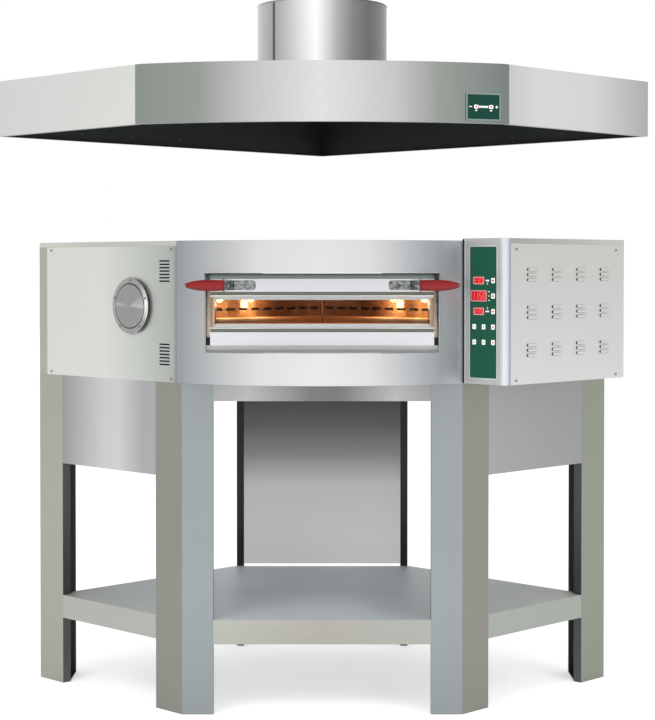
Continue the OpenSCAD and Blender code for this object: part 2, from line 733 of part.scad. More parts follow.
// Handles: an angled bracket carries each grip ahead of the door, clear of the front panel
stud_r = 4;
stud_play = 0.15;
tip_l = 6;
ferrule_r = 13;
nut_r = 7;
nut_h = 5;
grip_flange_r = 19;
grip_steps = 16;
grip_neck = 9;                         // length of the flange and the neck of a grip
arm_y = door_face_y - grip_reach;
module handle_brackets() placed() color(chrome) both() difference() {
    translate([0, 0, handle_z - bracket_h / 2])
        folded([[bracket_from, door_face_y], [bracket_to, door_face_y], [arm_x, arm_y + bracket_h / 2],
                [arm_x, arm_y - bracket_h / 2]], -bracket_t, bracket_h);
    translate([0, arm_y, handle_z]) along_x(stud_r + stud_play, arm_x - 4 * bracket_t, arm_x + 1);
    for (x = bracket_screws) translate([x, door_face_y + 1, handle_z]) rotate([90, 0, 0])
        cylinder(r = screw_r / 2 + clear, h = 3 * bracket_t);
}
// Radius of the grip at a share u of its length: it swells over its first fifth and tapers to its tip
function grip_radius(u) =
    grip_r * (0.88 + 0.12 * min(1, u / 0.2)) * (1 - 0.55 * pow(max(0, u - 0.35) / 0.65, 2.2));
grip_outline = concat(
    [[grip_flange_r - 1, 0], [grip_flange_r, 1], [grip_flange_r, 4], [grip_flange_r - 2, 6]],
    [for (i = [0 : grip_steps]) let (u = i / grip_steps)
        [grip_radius(u), grip_neck + (grip_l - grip_neck) * u]]);
module handle_grips() placed() color(red) both() translate([grip_x, arm_y, handle_z]) rotate([0, 90, 0])
    rotate_extrude() polygon(concat([[stud_r + stud_play, 0]], grip_outline, [[stud_r + stud_play, grip_l]]));
module door_screws() placed() color(chrome) both() {
    for (x = bracket_screws) translate([x, door_face_y - bracket_t, handle_z]) rotate([90, 0, 0]) pan_screw();
    translate([0, arm_y, handle_z]) {
        along_x(stud_r, arm_x - bracket_t - touch, grip_x + grip_l + touch);
        along_x(nut_r, arm_x - bracket_t - touch - nut_h, arm_x - bracket_t - touch, $fn = 6);
        along_x(ferrule_r, arm_x + touch, grip_x - touch);
        translate([grip_x + grip_l + touch, 0, 0]) rotate([0, 90, 0])
            cylinder(r1 = stud_r * 1.6, r2 = stud_r * 0.6, h = tip_l);
    }
}

// Control box on the right side. Local frame of the side: outwards is -Y
box_rise = 6;                          // how far the box stands above the roof
box_reach = box_gap + box_t;
box_top = roof_z + box_rise;
box_h = box_top - oven_z;
box_lap = 15;
box_flange = 52;                       // flange that the side panel of the box is screwed to
spacer_w = 12;                         // width of the spacer between box and oven
spacer_inset = 10;                     // distance of the spacer from the edges of the box
fascia_side = 23;
fascia_t = 4;
fascia_wrap = 2;                       // thickness of the fascia where it wraps round to the side
corner_steps = 24;
keypad_t = 1;
keypad_recess = 2;
keypad_side = 72.5;                    // middle of the keypad, from the inner side of the box
keypad_mid = box_gap + keypad_side;
keypad_up = 17;
keypad_low = oven_z + keypad_up;
key_up = 303;                          // middle of the uppermost key above the oven's underside
key_top = oven_z + key_up;
key_shift = 1;
key_proud = 1.4;                       // how far a key stands out of the keypad
key_flange = 1.5;                      // thickness and reach of the flange that holds a key
display_shift = 18;
display_proud = 0.5;
display_sizes = [[40, 22], [60, 32], [40, 21]];
board_t = 1.6;
board_gap = 0.5;                       // what is left between a pressed key and the board
board_x = fascia_t + clear + key_flange + key_travel + board_gap;
box_screw_from = fascia_side + 24;
box_screw_to = box_l - 42;
box_screw_low = oven_z + 12;
box_screw_high = box_top - box_lap - 17;
louvre_cols = 4;
louvre_rows = 3;
louvre_gap = 118;
louvre_row_gap = 110.5;
louvre_pitch = 15;
louvre_depth = 5;
louvre_from = 97;
louvre_low = oven_z + 79;

function key_col(k) = k < 3 ? 2 : k % 3;
function key_line(k) = k < 3 ? k : 2 + floor(k / 3);
function key_y(k) = -(keypad_mid + key_shift + (key_col(k) - 1) * key_pitch);
function key_z(k) = key_top - key_row * key_line(k);
display_y = -(keypad_mid - display_shift);
function display_z(i) = key_top - key_row * i;
module block(x1, x2, y, z, w, h) translate([x1, y - w / 2, z - h / 2]) cube([x2 - x1, w, h]);

// Plan of the fascia, front and side inside its outer faces, with radius r at its outer corner
module wrap_2d(r, front, side) polygon(concat(
    [for (i = [0 : corner_steps]) let (a = 180 + 90 * i / corner_steps)
        [front + r * (1 + cos(a)), side - box_reach + r * (1 + sin(a))]],
    [[fascia_side, side - box_reach], [fascia_side, -box_gap], [front, -box_gap]]));
module key_openings(play, x1, x2) for (k = [0 : 8])
    block(x1, x2, key_y(k), key_z(k), key_w + 2 * play, key_h + 2 * play);
module display_openings(play, x1, x2) for (i = [0 : 2])
    block(x1, x2, display_y, display_z(i), display_sizes[i].x + 2 * play, display_sizes[i].y + 2 * play);

module control_fascia() placed() color(chrome) right_side() difference() {
    slab(oven_z, box_h) difference() {
        wrap_2d(fascia_r, 0, 0);
        difference() {
            wrap_2d(fascia_r - fascia_t, fascia_t, fascia_wrap);
            translate([0, -box_gap - fascia_wrap]) square([fascia_side, fascia_wrap]);
        }
    }
    translate([-1, -keypad_mid - keypad_w / 2, keypad_low]) cube([1 + keypad_recess, keypad_w, keypad_h]);
    key_openings(clear, -1, fascia_t + 1);
    display_openings(clear, -1, fascia_t + 1);
}
module control_keypad() placed() color(green) right_side() difference() {
    translate([keypad_recess - keypad_t, -keypad_mid - keypad_w / 2 + clear, keypad_low + clear])
        cube([keypad_t, keypad_w - 2 * clear, keypad_h - 2 * clear]);
    key_openings(clear, 0, fascia_t);
    display_openings(clear, 0, fascia_t);
}
module display_windows() placed() color("#7a1414") right_side()
    display_openings(0, keypad_recess - keypad_t - display_proud, board_x - touch);

module key(k) placed() color("white") right_side() {
    block(keypad_recess - keypad_t - key_proud, fascia_t + clear, key_y(k), key_z(k), key_w, key_h);
    block(fascia_t + clear, fascia_t + clear + key_flange, key_y(k), key_z(k),
          key_w + 2 * key_flange, key_h + 2 * key_flange);
}

board_margin = 4;
board_w = keypad_w - 2 * board_margin;
board_low = key_top - 4 * key_row - 2 * key_h;
board_h = 4 * key_row + 4 * key_h;
standoff = 6;                          // distance of the board's standoffs from its edges
standoff_r = 3;
contactors = 4;
contactor_l = 46;
contactor_w = 70;
contactor_h = 80;
contactor_from = 172;
contactor_pitch = 60;
contactor_up = 60;
module control_board() placed() color("#2f6b4a") right_side() {
    translate([board_x, -keypad_mid - board_w / 2, board_low]) {
        cube([board_t, board_w, board_h]);
        for (y = [standoff, board_w - standoff], z = [standoff, board_h - standoff])
            translate([0, y, z]) along_x(standoff_r, fascia_t - board_x + touch, board_t / 2);
    }
    translate([contactor_from, -box_gap - sheet - touch - contactor_w, oven_z + contactor_up])
        for (i = [0 : contactors - 1]) translate([i * contactor_pitch, 0, 0])
            cube([contactor_l, contactor_w, contactor_h]);
}

module control_box_shell() placed() color(steel) right_side() difference() {
    union() {
        translate([fascia_side + touch, -box_reach, box_top - box_lap])
            cube([box_l - fascia_side - touch, box_t, box_lap]);
        translate([fascia_side + touch, -box_reach + sheet + touch, oven_z])
            cube([box_l - fascia_side - touch, box_t - sheet - touch, box_h - box_lap + 1]);
        translate([0, -box_gap - sheet / 2, 0]) spacer(0, box_gap + sheet / 2 - touch);
    }
    translate([fascia_side - 1, -box_reach + 2 * sheet + touch, oven_z + sheet])
        cube([box_l - fascia_side + 1 - sheet, box_t - 3 * sheet - touch, box_h - 2 * sheet]);
    translate([fascia_side + box_flange, -box_reach - 1, oven_z + box_flange / 2])
        cube([box_l - fascia_side - 2 * box_flange, box_t / 2, box_h - box_lap - box_flange]);
    translate([0, -box_gap - sheet - 1, 0]) spacer(spacer_w, box_gap + sheet + 2);
    panel_screw_holes();
    at_gland() along_x(gland_thread_r + clear, -gland_in, gland_in);
}
module spacer(inside, width)
    translate([fascia_side + touch + inside, 0, oven_z + spacer_inset + inside])
        cube([box_l - fascia_side - touch - spacer_inset - 2 * inside, width,
              oven_h - 2 * (spacer_inset + inside)]);
module panel_screw_holes() translate([0, -box_reach, 0])
    panel_screw_places(box_screw_from, box_screw_to, box_screw_low, box_screw_high)
        rotate([-90, 0, 0]) translate([0, 0, -1]) cylinder(r = screw_r / 2 + clear, h = screw_l + 2);

module louvre_2d(t) polygon([[0, t / 2], [-louvre_depth + t, t / 2], [-louvre_depth + t, louvre_h * 0.35],
                             [-louvre_depth * 0.6 + t, louvre_h * 0.75 - t / 2], [0, louvre_h - t]]);
module control_side_panel() placed() color(steel) right_side() translate([0, -box_reach, 0]) difference() {
    union() {
        translate([fascia_side + touch, 0, oven_z])
            cube([box_l - fascia_side - touch, sheet, box_h - box_lap - touch]);
        louvres() translate([0, 0.1, 0]) rotate([90, 0, 90]) linear_extrude(louvre_l) louvre_2d(0);
    }
    louvres() {
        translate([1, 0.5, -1]) rotate([90, 0, 90]) linear_extrude(louvre_l - 2) louvre_2d(1);
        translate([1, -louvre_depth / 2, 0.5]) cube([louvre_l - 2, louvre_depth + sheet, louvre_h * 0.5]);
    }
    translate([0, box_reach, 0]) panel_screw_holes();
}
module louvres() translate([louvre_from, 0, louvre_low])
    for (c = [0 : louvre_cols - 1], r = [0 : louvre_rows - 1], i = [0 : 2])
        translate([c * louvre_gap, 0, r * louvre_row_gap + i * louvre_pitch]) children();

gland_r = 16;
gland_thread_r = 13;
gland_bore = 10;
gland_up = 60;
gland_in = 8;                          // how far the gland reaches into the box
gland_out = 26;
module at_gland() translate([box_l, -box_reach / 2, oven_z + gland_up]) children();
module cable_gland() placed() color("#303234") right_side() at_gland() difference() {
    union() {
        along_x(gland_r, touch, gland_in);
        along_x(gland_thread_r, -gland_in, gland_out);
    }
    along_x(gland_bore, -gland_in - 1, gland_out + 1);
}

// Hood
hood_return = 15;
hood_outer = [hood_wall / diag, corner - hood_wall / diag];
hood_side_from = [hood_half + hood_return + touch, hood_y + hood_return + touch];
hood_side_l = norm(hood_outer - hood_side_from);
hood_wall_from = hood_outer + (hood_lip + touch) * inward;
hood_wall_pts = [hood_wall_from, [0, corner], [-hood_wall_from.x, hood_wall_from.y]];
rivet_r = 5;
rivet_disc = 1;
rivet_head = 2;
rivet_up = 26;
rivet_count = floor((hood_wall - hood_lip) / rivet_pitch);
hood_r = arc_r(hood_plan);
plate_w = 107;
plate_h = 79;
plate_up = 7;
plate_x = 460;
plate_angle = asin(plate_x / hood_r);
plate_mid = hood_z + plate_up + plate_h / 2;
hood_key_x = 23;
hood_key_w = 13;
hood_key_h = 11;
window_w = 84;
window_h = 40;
window_reach = 12;

module hood_front_panel() placed() color(satin) difference() {
    union() {
        slab(hood_z, hood_h) ahead_of(hood_y + hood_return) ring_2d(hood_plan, 0, sheet);
        slab(hood_z, sheet) ahead_of(hood_y + hood_return) ring_2d(hood_plan, 0, hood_lip);
    }
    at_plate() translate([-window_w / 2, -window_reach, -window_h / 2])
        cube([window_w, 2 * window_reach, window_h]);
}
module hood_side_panels() placed() color(satin) both()
    translate([hood_side_from.x, hood_side_from.y, hood_z]) rotate([0, 0, 45]) {
        cube([hood_side_l, sheet, hood_h]);
        cube([hood_side_l, hood_lip, sheet]);
        translate([hood_side_l - sheet, 0, 0]) cube([sheet, hood_lip, hood_h]);
    }
module on_rivets() both() translate([hood_wall_from.x, hood_wall_from.y, hood_z + rivet_up])
    rotate([0, 0, 135]) for (i = [0 : rivet_count - 1]) translate([rivet_pitch * (i + 0.5), 0, 0]) children();
module hood_wall_panels() placed() color(steel) difference() {
    translate([0, 0, hood_z]) {
        folded(hood_wall_pts, sheet, hood_h);
        folded(hood_wall_pts, hood_lip, sheet);
    }
    on_rivets() rotate([-90, 0, 0]) translate([0, 0, -1]) cylinder(r = rivet_r / 2 + clear, h = 4 * sheet);
}
module hood_rivets() placed() color(chrome) on_rivets() rotate([-90, 0, 0]) {
    translate([0, 0, -touch - rivet_disc]) cylinder(r = rivet_r, h = rivet_disc);
    translate([0, 0, -touch - rivet_disc / 2]) cylinder(r = rivet_r / 2, h = sheet + 2 * touch + rivet_disc);
    translate([0, 0, sheet + touch]) cylinder(r1 = rivet_r, r2 = rivet_r * 0.6, h = rivet_head);
}
hanger_x = 650;
hanger_front = 60;                     // distance of the front hangers ahead of the oven's outer corners
hanger_rear = 460;                     // distance of the rear hangers behind the duct's axis
hanger_y = [outer_y - hanger_front, duct_y + hanger_rear];
hanger_d = 11;
module hood_roof() placed() color(steel) difference() {
    slab(hood_top - sheet, sheet) plan_2d(hood_plan, sheet + clear);
    translate([0, duct_y, hood_top - 3 * sheet]) cylinder(r = duct_r - sheet, h = 6 * sheet, $fn = big_fn);
    both() for (i = [0, 1]) translate([hanger_x / (i + 1), hanger_y[i], hood_top - 3 * sheet])
        cylinder(d = hanger_d, h = 6 * sheet);
}
collar_flange = 25;
flange_t = 2;
module duct_collar() placed() color(steel) translate([0, duct_y, hood_top]) difference() {
    union() {
        cylinder(r = duct_r, h = duct_h, $fn = big_fn);
        cylinder(r = duct_r + collar_flange, h = flange_t, $fn = big_fn);
    }
    translate([0, 0, -1]) cylinder(r = duct_r - sheet, h = duct_h + 2, $fn = big_fn);
}

module at_plate() translate([0, hood_y + hood_r - hood_bow, plate_mid]) rotate([0, 0, plate_angle])
    translate([0, -hood_r, 0]) children();
module hood_key(side, play, y1, y2)
    translate([side * hood_key_x - hood_key_w / 2 - play, y1, -hood_key_h / 2 - play])
        cube([hood_key_w + 2 * play, y2 - y1, hood_key_h + 2 * play]);
module hood_control_plate() placed() color(green) at_plate() difference() {
    translate([-plate_w / 2, -plate_t - touch, -plate_h / 2]) cube([plate_w, plate_t, plate_h]);
    for (side = [-1, 1]) hood_key(side, clear, -2 * plate_t, plate_t);
}
module hood_key_piece(side) placed() color("white") at_plate() {
    hood_key(side, 0, -plate_t - touch - key_proud, clear);
    hood_key(side, key_flange, clear - touch, clear - touch + key_flange);
}
module hood_key_minus() hood_key_piece(-1);
module hood_key_plus() hood_key_piece(1);

// Extraction fan in the duct collar
fan_up = 20;                           // underside of the fan above the roof of the hood
tip_gap = 12;
fan_r = duct_r - sheet - tip_gap;
hub_r = 45;
hub_h = 46;
blade_t = 2;
blade_w = 90;
blade_pitch = 28;
blade_root = 3;                        // how far a blade reaches into the hub
shaft_r = 7;
shaft_in = 20;                         // how far the shaft reaches into the motor
motor_r = 62;
motor_gap = 12;
motor_h = 90;
motor_z = hood_top + fan_up + hub_h + motor_gap;
arm_count = 3;
arm_w = 24;
arm_t = 4;
arm_up = 36;
module fan_wheel() placed() color("#6f7a80") translate([0, duct_y, hood_top + fan_up]) {
    cylinder(r = hub_r, h = hub_h);
    cylinder(r = shaft_r, h = hub_h + motor_gap + shaft_in);
    for (i = [0 : fan_blades - 1]) rotate([0, 0, i * 360 / fan_blades]) intersection() {
        translate([hub_r - blade_root, 0, hub_h / 2]) rotate([blade_pitch, 0, 0])
            translate([0, -blade_w / 2, -blade_t / 2]) cube([fan_r, blade_w, blade_t]);
        cylinder(r = fan_r, h = hub_h, $fn = big_fn);
    }
}
module fan_motor() placed() color("#3c4144") translate([0, duct_y, motor_z]) difference() {
    union() {
        cylinder(r = motor_r, h = motor_h);
        for (i = [0 : arm_count - 1]) rotate([0, 0, i * 360 / arm_count + 90]) intersection() {
            translate([motor_r - arm_t, -arm_w / 2, arm_up]) cube([duct_r, arm_w, arm_t]);
            cylinder(r = duct_r - sheet - clear, h = motor_h, $fn = big_fn);
        }
    }
    translate([0, 0, -1]) cylinder(r = shaft_r + hinge_play, h = 1.5 * shaft_in);
}

front_leg_left();
front_leg_right();
outer_leg_left();
outer_leg_right();
rear_posts();
foot_plates();
lower_shelf();
top_rails();
side_aprons();
stand_rear_panel();
stand_bolts();
base_tray();
curved_facade();
side_panels();
corner_posts();
roof_cover();
wall_panels();
inspection_cover();
casing_screws();
chamber_shell();
baking_stones();
heating_elements();
insulation();
chamber_lamps();
mouth_frame();
door_frame();
door_glass();
door_seal();
handle_brackets();
handle_grips();
door_screws();
hinge_pins();
hinge_blocks();
control_box_shell();
control_side_panel();
control_fascia();
control_keypad();
display_windows();
control_board();
cable_gland();
hood_front_panel();
hood_side_panels();
hood_wall_panels();
hood_roof();
duct_collar();
hood_control_plate();
hood_rivets();
fan_wheel();
fan_motor();
hood_key_minus();
hood_key_plus();
key(0);  // key_1
key(1);  // key_2
key(2);  // key_3
key(3);  // key_4
key(4);  // key_5
key(5);  // key_6
key(6);  // key_7
key(7);  // key_8
key(8);  // key_9
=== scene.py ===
from functools import cache
import json
import math

import bpy
from bpy.props import FloatProperty, FloatVectorProperty, PointerProperty
from mathutils import Matrix, Vector

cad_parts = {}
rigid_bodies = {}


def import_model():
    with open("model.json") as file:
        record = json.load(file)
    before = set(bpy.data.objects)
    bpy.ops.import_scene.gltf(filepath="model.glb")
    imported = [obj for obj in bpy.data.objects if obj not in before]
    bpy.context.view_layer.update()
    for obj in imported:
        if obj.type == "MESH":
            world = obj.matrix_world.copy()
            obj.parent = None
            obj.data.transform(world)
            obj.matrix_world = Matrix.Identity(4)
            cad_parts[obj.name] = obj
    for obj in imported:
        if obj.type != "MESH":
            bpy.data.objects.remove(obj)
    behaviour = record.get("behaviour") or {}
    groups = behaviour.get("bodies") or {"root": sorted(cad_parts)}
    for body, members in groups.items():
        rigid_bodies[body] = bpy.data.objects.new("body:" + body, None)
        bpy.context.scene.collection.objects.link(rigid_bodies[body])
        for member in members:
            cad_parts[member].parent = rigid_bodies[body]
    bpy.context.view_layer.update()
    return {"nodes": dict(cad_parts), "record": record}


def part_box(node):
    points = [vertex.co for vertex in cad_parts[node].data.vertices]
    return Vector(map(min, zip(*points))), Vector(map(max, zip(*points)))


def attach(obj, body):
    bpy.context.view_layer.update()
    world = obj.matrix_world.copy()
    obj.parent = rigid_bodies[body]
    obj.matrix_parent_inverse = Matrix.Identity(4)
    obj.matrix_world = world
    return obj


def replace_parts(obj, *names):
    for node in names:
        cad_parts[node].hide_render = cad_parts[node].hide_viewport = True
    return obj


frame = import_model()

bl_info = {
    "name": "Corner pizza oven finish",
    "version": (1, 0, 0),
    "blender": (4, 5, 0),
    "location": "3D View > Sidebar > Oven",
    "description": "Dresses a corner pizza oven, its stand and its hood",
    "category": "Object",
}

NODES = frame["nodes"]
BODY_OF = {node: body for body, nodes in frame["record"]["behaviour"]["bodies"].items() for node in nodes}
UP = Vector((0, 0, 1))
DOWN = -UP
FRONT = Vector((0, -1, 0))
BACK = -FRONT
RIGHT = Vector((1, 0, 0))
BACK_RIGHT = Vector((1, 1, 0)).normalized()
BOX_OUT = Vector((1, -1, 0)).normalized()
LEFT_OUT = KEYPAD_OUT = -BACK_RIGHT
HEAD_H = 0.0022  # height of a pan head


def srgb(red, green, blue):
    """Linear colour from the 0 to 255 values of a paint card"""
    def channel(value):
        share = value / 255
        return share / 12.92 if share <= 0.04045 else ((share + 0.055) / 1.055) ** 2.4
    return channel(red), channel(green), channel(blue)


def tone(value):
    """Linear colour of a grey from 0 to 255, or of three such values"""
    return srgb(*value) if isinstance(value, tuple) else srgb(value, value, value)


def colour(name, what, red, green, blue):
    return FloatVectorProperty(name=name, description=what, subtype="COLOR", size=3, min=0, max=1,
                               default=srgb(red, green, blue))


def length(name, what, value):
    return FloatProperty(name=name, description=what, default=value, min=0, unit="LENGTH")


def angle(name, what, value):
    return FloatProperty(name=name, description=what, default=value, subtype="ANGLE")


def amount(name, what, value):
    return FloatProperty(name=name, description=what, default=value, min=0)


class OvenFinish(bpy.types.PropertyGroup):
    """Colours and finishes of the sheet metal and of the door"""
    oven_steel: colour("Oven steel", "Brushed sheet of the bowed front", 226, 226, 228)
    side_steel: colour("Side steel", "Satin sheet of the oven's left side", 215, 214, 209)
    box_steel: colour("Box steel", "Satin sheet on the side of the control box", 210, 210, 208)
    lap_steel: colour("Lap steel", "Roof sheet and its lap", 222, 223, 218)
    wall_steel: colour("Wall steel", "Sheets that face the walls", 176, 179, 177)
    # The legs' one steel in lit and shaded copies, one for each way a face looks
    leg_steel: colour("Leg steel", "Satin sheet of the legs, on the front", 145, 151, 153)
    leg_warm: colour("Warm leg steel", "Front legs on their slanted faces", 139, 139, 131)
    leg_outer: colour("Outer leg steel", "Outer legs and corner posts", 168, 170, 161)
    leg_inside: colour("Leg inside", "Shaded inner faces of the legs", 84, 88, 86)
    apron_steel: colour("Apron steel", "Panels under the oven", 205, 204, 201)
    rail_steel: colour("Rail steel", "Rails under the oven", 178, 180, 182)
    shelf_steel: colour("Shelf steel", "Upper face of the shelf", 196, 201, 205)
    rim_steel: colour("Rim steel", "Rims of the shelf", 184, 186, 180)
    hood_steel: colour("Hood steel", "Bowed front of the hood", 228, 227, 227)
    hood_side: colour("Hood side steel", "Slanted sides of the hood", 217, 218, 213)
    # The hood's inner faces are painted dark as shade
    hood_inside: colour("Hood inside", "Dark inner faces of the hood", 50, 55, 55)
    duct_steel: colour("Duct steel", "Rolled sheet of the duct collar", 254, 254, 254)
    fascia_steel: colour("Fascia", "Aluminium frame of the control box", 232, 234, 238)
    bright_steel: colour("Bright steel", "Polished pieces", 226, 228, 230)
    door_steel: colour("Door steel", "Rails of the door", 218, 218, 222)
    cover_steel: colour("Cover steel", "Turned inspection cover", 186, 185, 184)
    chamber_steel: colour("Chamber steel", "Sheets of the baking chamber", 250, 214, 184)
    # Hinge blocks painted dark as shade
    shaded_hinge_metal: colour("Dark metal", "Hinge blocks, in the shade", 40, 42, 42)
    grip_red: colour("Grip red", "Turned grips of the door", 122, 22, 26)
    stone: colour("Baking stone", "Refractory stones", 244, 172, 112)
    edge: length("Edge radius", "Radius of the folded edges", 0.0006)
    cover_boss: length("Cover boss", "Radius of the raised middle of the inspection cover", 0.066)
    cover_opening: length("Cover opening", "Radius of the flange in the opening behind the cover", 0.0868)
    grip_swell: amount("Grip swell", "Body of a grip, as a share of its flange", 0.87)
    bracket_t: length("Bracket thickness", "Sheet of the handle brackets", 0.003)
    bracket_round: length("Bracket corner", "Corner radius at the free end of a handle bracket", 0.009)
    louvre_l: length("Louvre length", "Length of a pressed louvre", 0.046)
    louvre_h: length("Louvre height", "Height of a pressed louvre", 0.0105)
    louvre_x: length("First louvre", "Middle of the first louvre, from the front edge of its sheet", 0.097)
    louvre_z: length("Lowest louvre", "Middle of the lowest louvre, from the lower edge of its sheet", 0.084)
    louvre_columns: length("Louvre columns", "Distance between the columns of louvres", 0.118)
    louvre_groups: length("Louvre groups", "Distance between the groups of three in a column", 0.1105)
    louvre_pitch: length("Louvre pitch", "Distance between the louvres of a group", 0.015)
    lamp_power: amount("Lamp power", "Power of each lamp of the chamber", 0.55)
    hearth_power: amount("Hearth light", "Power of the light that the chamber's roof throws back", 0.5)
    bead: length("Bead", "Thickness of the bead on the duct's rim", 0.0015)
    seam_angle: angle("Seam angle", "Place of the duct's seam", math.radians(-47))
    plate_angle: angle("Plate angle", "Turn of the plate on the hood", math.asin(0.46 / 1.47404))
    grain: amount("Grain", "Strength of the brushed grain", 0.025)


class OvenControls(bpy.types.PropertyGroup):
    """Colours and sizes of the keypad, displays and keys"""
    keypad_green: colour("Keypad green", "Printed sheet on the control box", 20, 74, 56)
    plate_green: colour("Plate green", "Plate on the hood", 2, 52, 42)
    key_white: colour("Key white", "Key caps", 236, 238, 234)
    symbol_red: colour("Symbol red", "Symbols on the keys", 186, 26, 44)
    display_red: colour("Display red", "Windows of the displays", 120, 8, 18)
    digit_red: colour("Digit red", "Lit digits", 230, 60, 56)
    symbol_size: length("Symbol size", "Symbols on the nine keys", 0.0062)
    dot_size: length("Dot size", "Dots on the keys of the hood", 0.0056)
    symbol_t: length("Symbol thickness", "How far print stands out", 0.00015)


class OvenStage(bpy.types.PropertyGroup):
    """Camera and light"""
    camera_y: FloatProperty(name="Camera place", description="Place along Y", default=-5.917, unit="LENGTH")
    camera_z: length("Camera height", "Height above the floor", 1.32)
    lens: amount("Lens", "Focal length in millimetres", 90.48)
    tilt: angle("Tilt", "How far the camera looks down", math.radians(1))
    shift_x: FloatProperty(name="Shift across", description="Lens shift", default=0.0074)
    shift_y: FloatProperty(name="Shift up", description="Lens shift", default=-0.0842)
    key_power: amount("Key light", "Power of the large soft light", 85)
    fill_power: amount("Fill light", "Power of the fill light", 60)
    low_power: amount("Low light", "Power of the light under the oven", 40)
    room_light: amount("Room light", "Strength of the world on the object", 0.75)
    floor_glow: amount("Floor glow", "Keeps the floor pale where it is seen", 0.42)


def settings(group):
    return getattr(bpy.context.scene, group)


# Materials

class Finish:
    """A node material with one Principled shader, and short ways to feed its sockets"""

    def __init__(self, name, base, metallic=0.0, roughness=0.4, **sockets):
        self.material = bpy.data.materials.new(name)
        self.material.use_nodes = True
        self.tree = self.material.node_tree
        self.shader = self.tree.nodes["Principled BSDF"]
        self.base = base
        plain = self.node("RGB").outputs[0]
        plain.default_value = (*base, 1)
        self.colour = plain
        for socket, value in {"Metallic": metallic, "Roughness": roughness, **sockets}.items():
            self.shader.inputs[socket.replace("_", " ")].default_value = value

    def node(self, kind, **values):
        made = self.tree.nodes.new("ShaderNode" + kind)
        for name, value in values.items():
            if name in made.inputs:
                made.inputs[name].default_value = value
            else:
                setattr(made, name, value)
        return made

    def link(self, output, socket):
        self.tree.links.new(output, socket)

    def place(self, scale=(1, 1, 1), offset=(0, 0, 0), turn=(0, 0, 0)):
        """Object coordinates, moved, turned and scaled"""
        mapping = self.node("Mapping", Scale=scale, Location=offset, Rotation=turn)
        self.link(self.node("TexCoord").outputs["Object"], mapping.inputs["Vector"])
        return mapping.outputs[0]

    def noise(self, scale, detail=3.0):
        made = self.node("TexNoise", Scale=1.0, Detail=detail, Roughness=0.6)
        self.link(self.place(scale), made.inputs["Vector"])
        return made.outputs["Fac"]

    def ramp(self, value, stops):
        """Blends over stops of (place from 0 to 1, grey or linear colour)"""
        made = self.node("ValToRGB")
        elements = made.color_ramp.elements
        while len(elements) < len(stops):
            elements.new(0.5)
        for element, (at, level) in zip(elements, stops):
            element.position = at
            element.color = (*(level if isinstance(level, tuple) else (level,) * 3), 1)
        self.link(value, made.inputs["Fac"])
        return made.outputs["Color"]

    def times(self, factor):
        """Multiplies the colour by a grey or coloured factor"""
        made = self.node("Mix", data_type="RGBA", blend_type="MULTIPLY", Factor=1)
        self.link(self.colour, made.inputs["A"])
        self.link(factor, made.inputs["B"])
        self.colour = made.outputs["Result"]
        return self

    def across(self, direction, tones):
        """Tones along a direction, as (place in metres, tone from 0 to 255): painted sheen, highlights and
        shade. A tone as bright as the sheet's own colour leaves it as it is"""
        along = self.node("VectorMath", operation="DOT_PRODUCT")
        self.link(self.node("TexCoord").outputs["Object"], along.inputs[0])
        along.inputs[1].default_value = direction
        low, high = tones[0][0], tones[-1][0]
        span = self.node("MapRange", **{"From Min": low, "From Max": high})
        self.link(along.outputs["Value"], span.inputs["Value"])
        return self.times(self.ramp(span.outputs["Result"], [
            ((at - low) / (high - low), tuple(min(1, part / own) for part, own in zip(tone(value), self.base)))
            for at, value in tones]))

    def over(self, node, direction, tones):
        """Painted sheen, highlights and shade over the reach of a CAD node, as (share of the reach, tone from 0
        to 255)
        """
        low, high = extent(corners(node), direction)
        return self.across(direction, [(low + share * (high - low), value) for share, value in tones])

    def mottled(self, scale, depth, detail=3.0):
        """Slight change of tone by a noise"""
        return self.times(self.ramp(self.noise(scale, detail), [(0.3, 1 - depth), (0.7, 1.0)]))

    def rough(self, scale, low, high):
        span = self.node("MapRange", **{"From Min": 0.3, "From Max": 0.7, "To Min": low, "To Max": high})
        self.link(self.noise(scale), span.inputs["Value"])
        self.link(span.outputs["Result"], self.shader.inputs["Roughness"])

    def bumped(self, value, distance, strength):
        made = self.node("Bump", Strength=strength, Distance=distance)
        self.link(value, made.inputs["Height"])
        self.link(made.outputs["Normal"], self.shader.inputs["Normal"])

    def done(self):
        self.link(self.colour, self.shader.inputs["Base Color"])
        return self.material


# Noise scales whose streaks run up the sheet, across it and along X
GRAIN_UP = (900, 900, 9)
GRAIN_ACROSS = (9, 9, 900)
GRAIN_X = (9, 900, 900)


def brushed(name, base, stretch=GRAIN_UP, metallic=0.85, roughness=0.34, **sockets):
    """Satin sheet steel: fine streaks along the grain, broad faint clouds and a little unevenness"""
    grain = settings("oven_finish").grain
    steel = Finish(name, base, metallic, roughness, **{"Anisotropic": 0.35, **sockets})
    streaks = steel.noise(stretch, 4.0)
    steel.times(steel.ramp(streaks, [(0.3, 1 - grain), (0.7, 1.0)]))
    steel.mottled((3.1, 3.1, 2.3), grain, 2.0)
    steel.rough(stretch, roughness - 0.05, roughness + 0.05)
    steel.bumped(streaks, 0.00002, 0.5)
    return steel


def coated(name, base, scale, depth, metallic=0.0, roughness=0.5, **sockets):
    """Paint, plastic, rope or glass: one colour with a faint even mottle"""
    return Finish(name, base, metallic, roughness, **sockets).mottled((scale, scale, scale), depth)


def turned_steel_sheen(name, base, matrix, sheen):
    """Steel turned on a lathe, with a painted sheen: tones round the middle of a face, as shares of the base"""
    steel = Finish(name, base, 0.8, 0.3, Anisotropic=0.5)
    flat = matrix.inverted()
    turn = steel.node("TexGradient", gradient_type="RADIAL")
    steel.link(steel.place(turn=flat.to_euler(), offset=flat.to_translation()), turn.inputs["Vector"])
    steel.times(steel.ramp(turn.outputs["Fac"], sheen))
    return steel.mottled((160, 160, 160), 0.05)


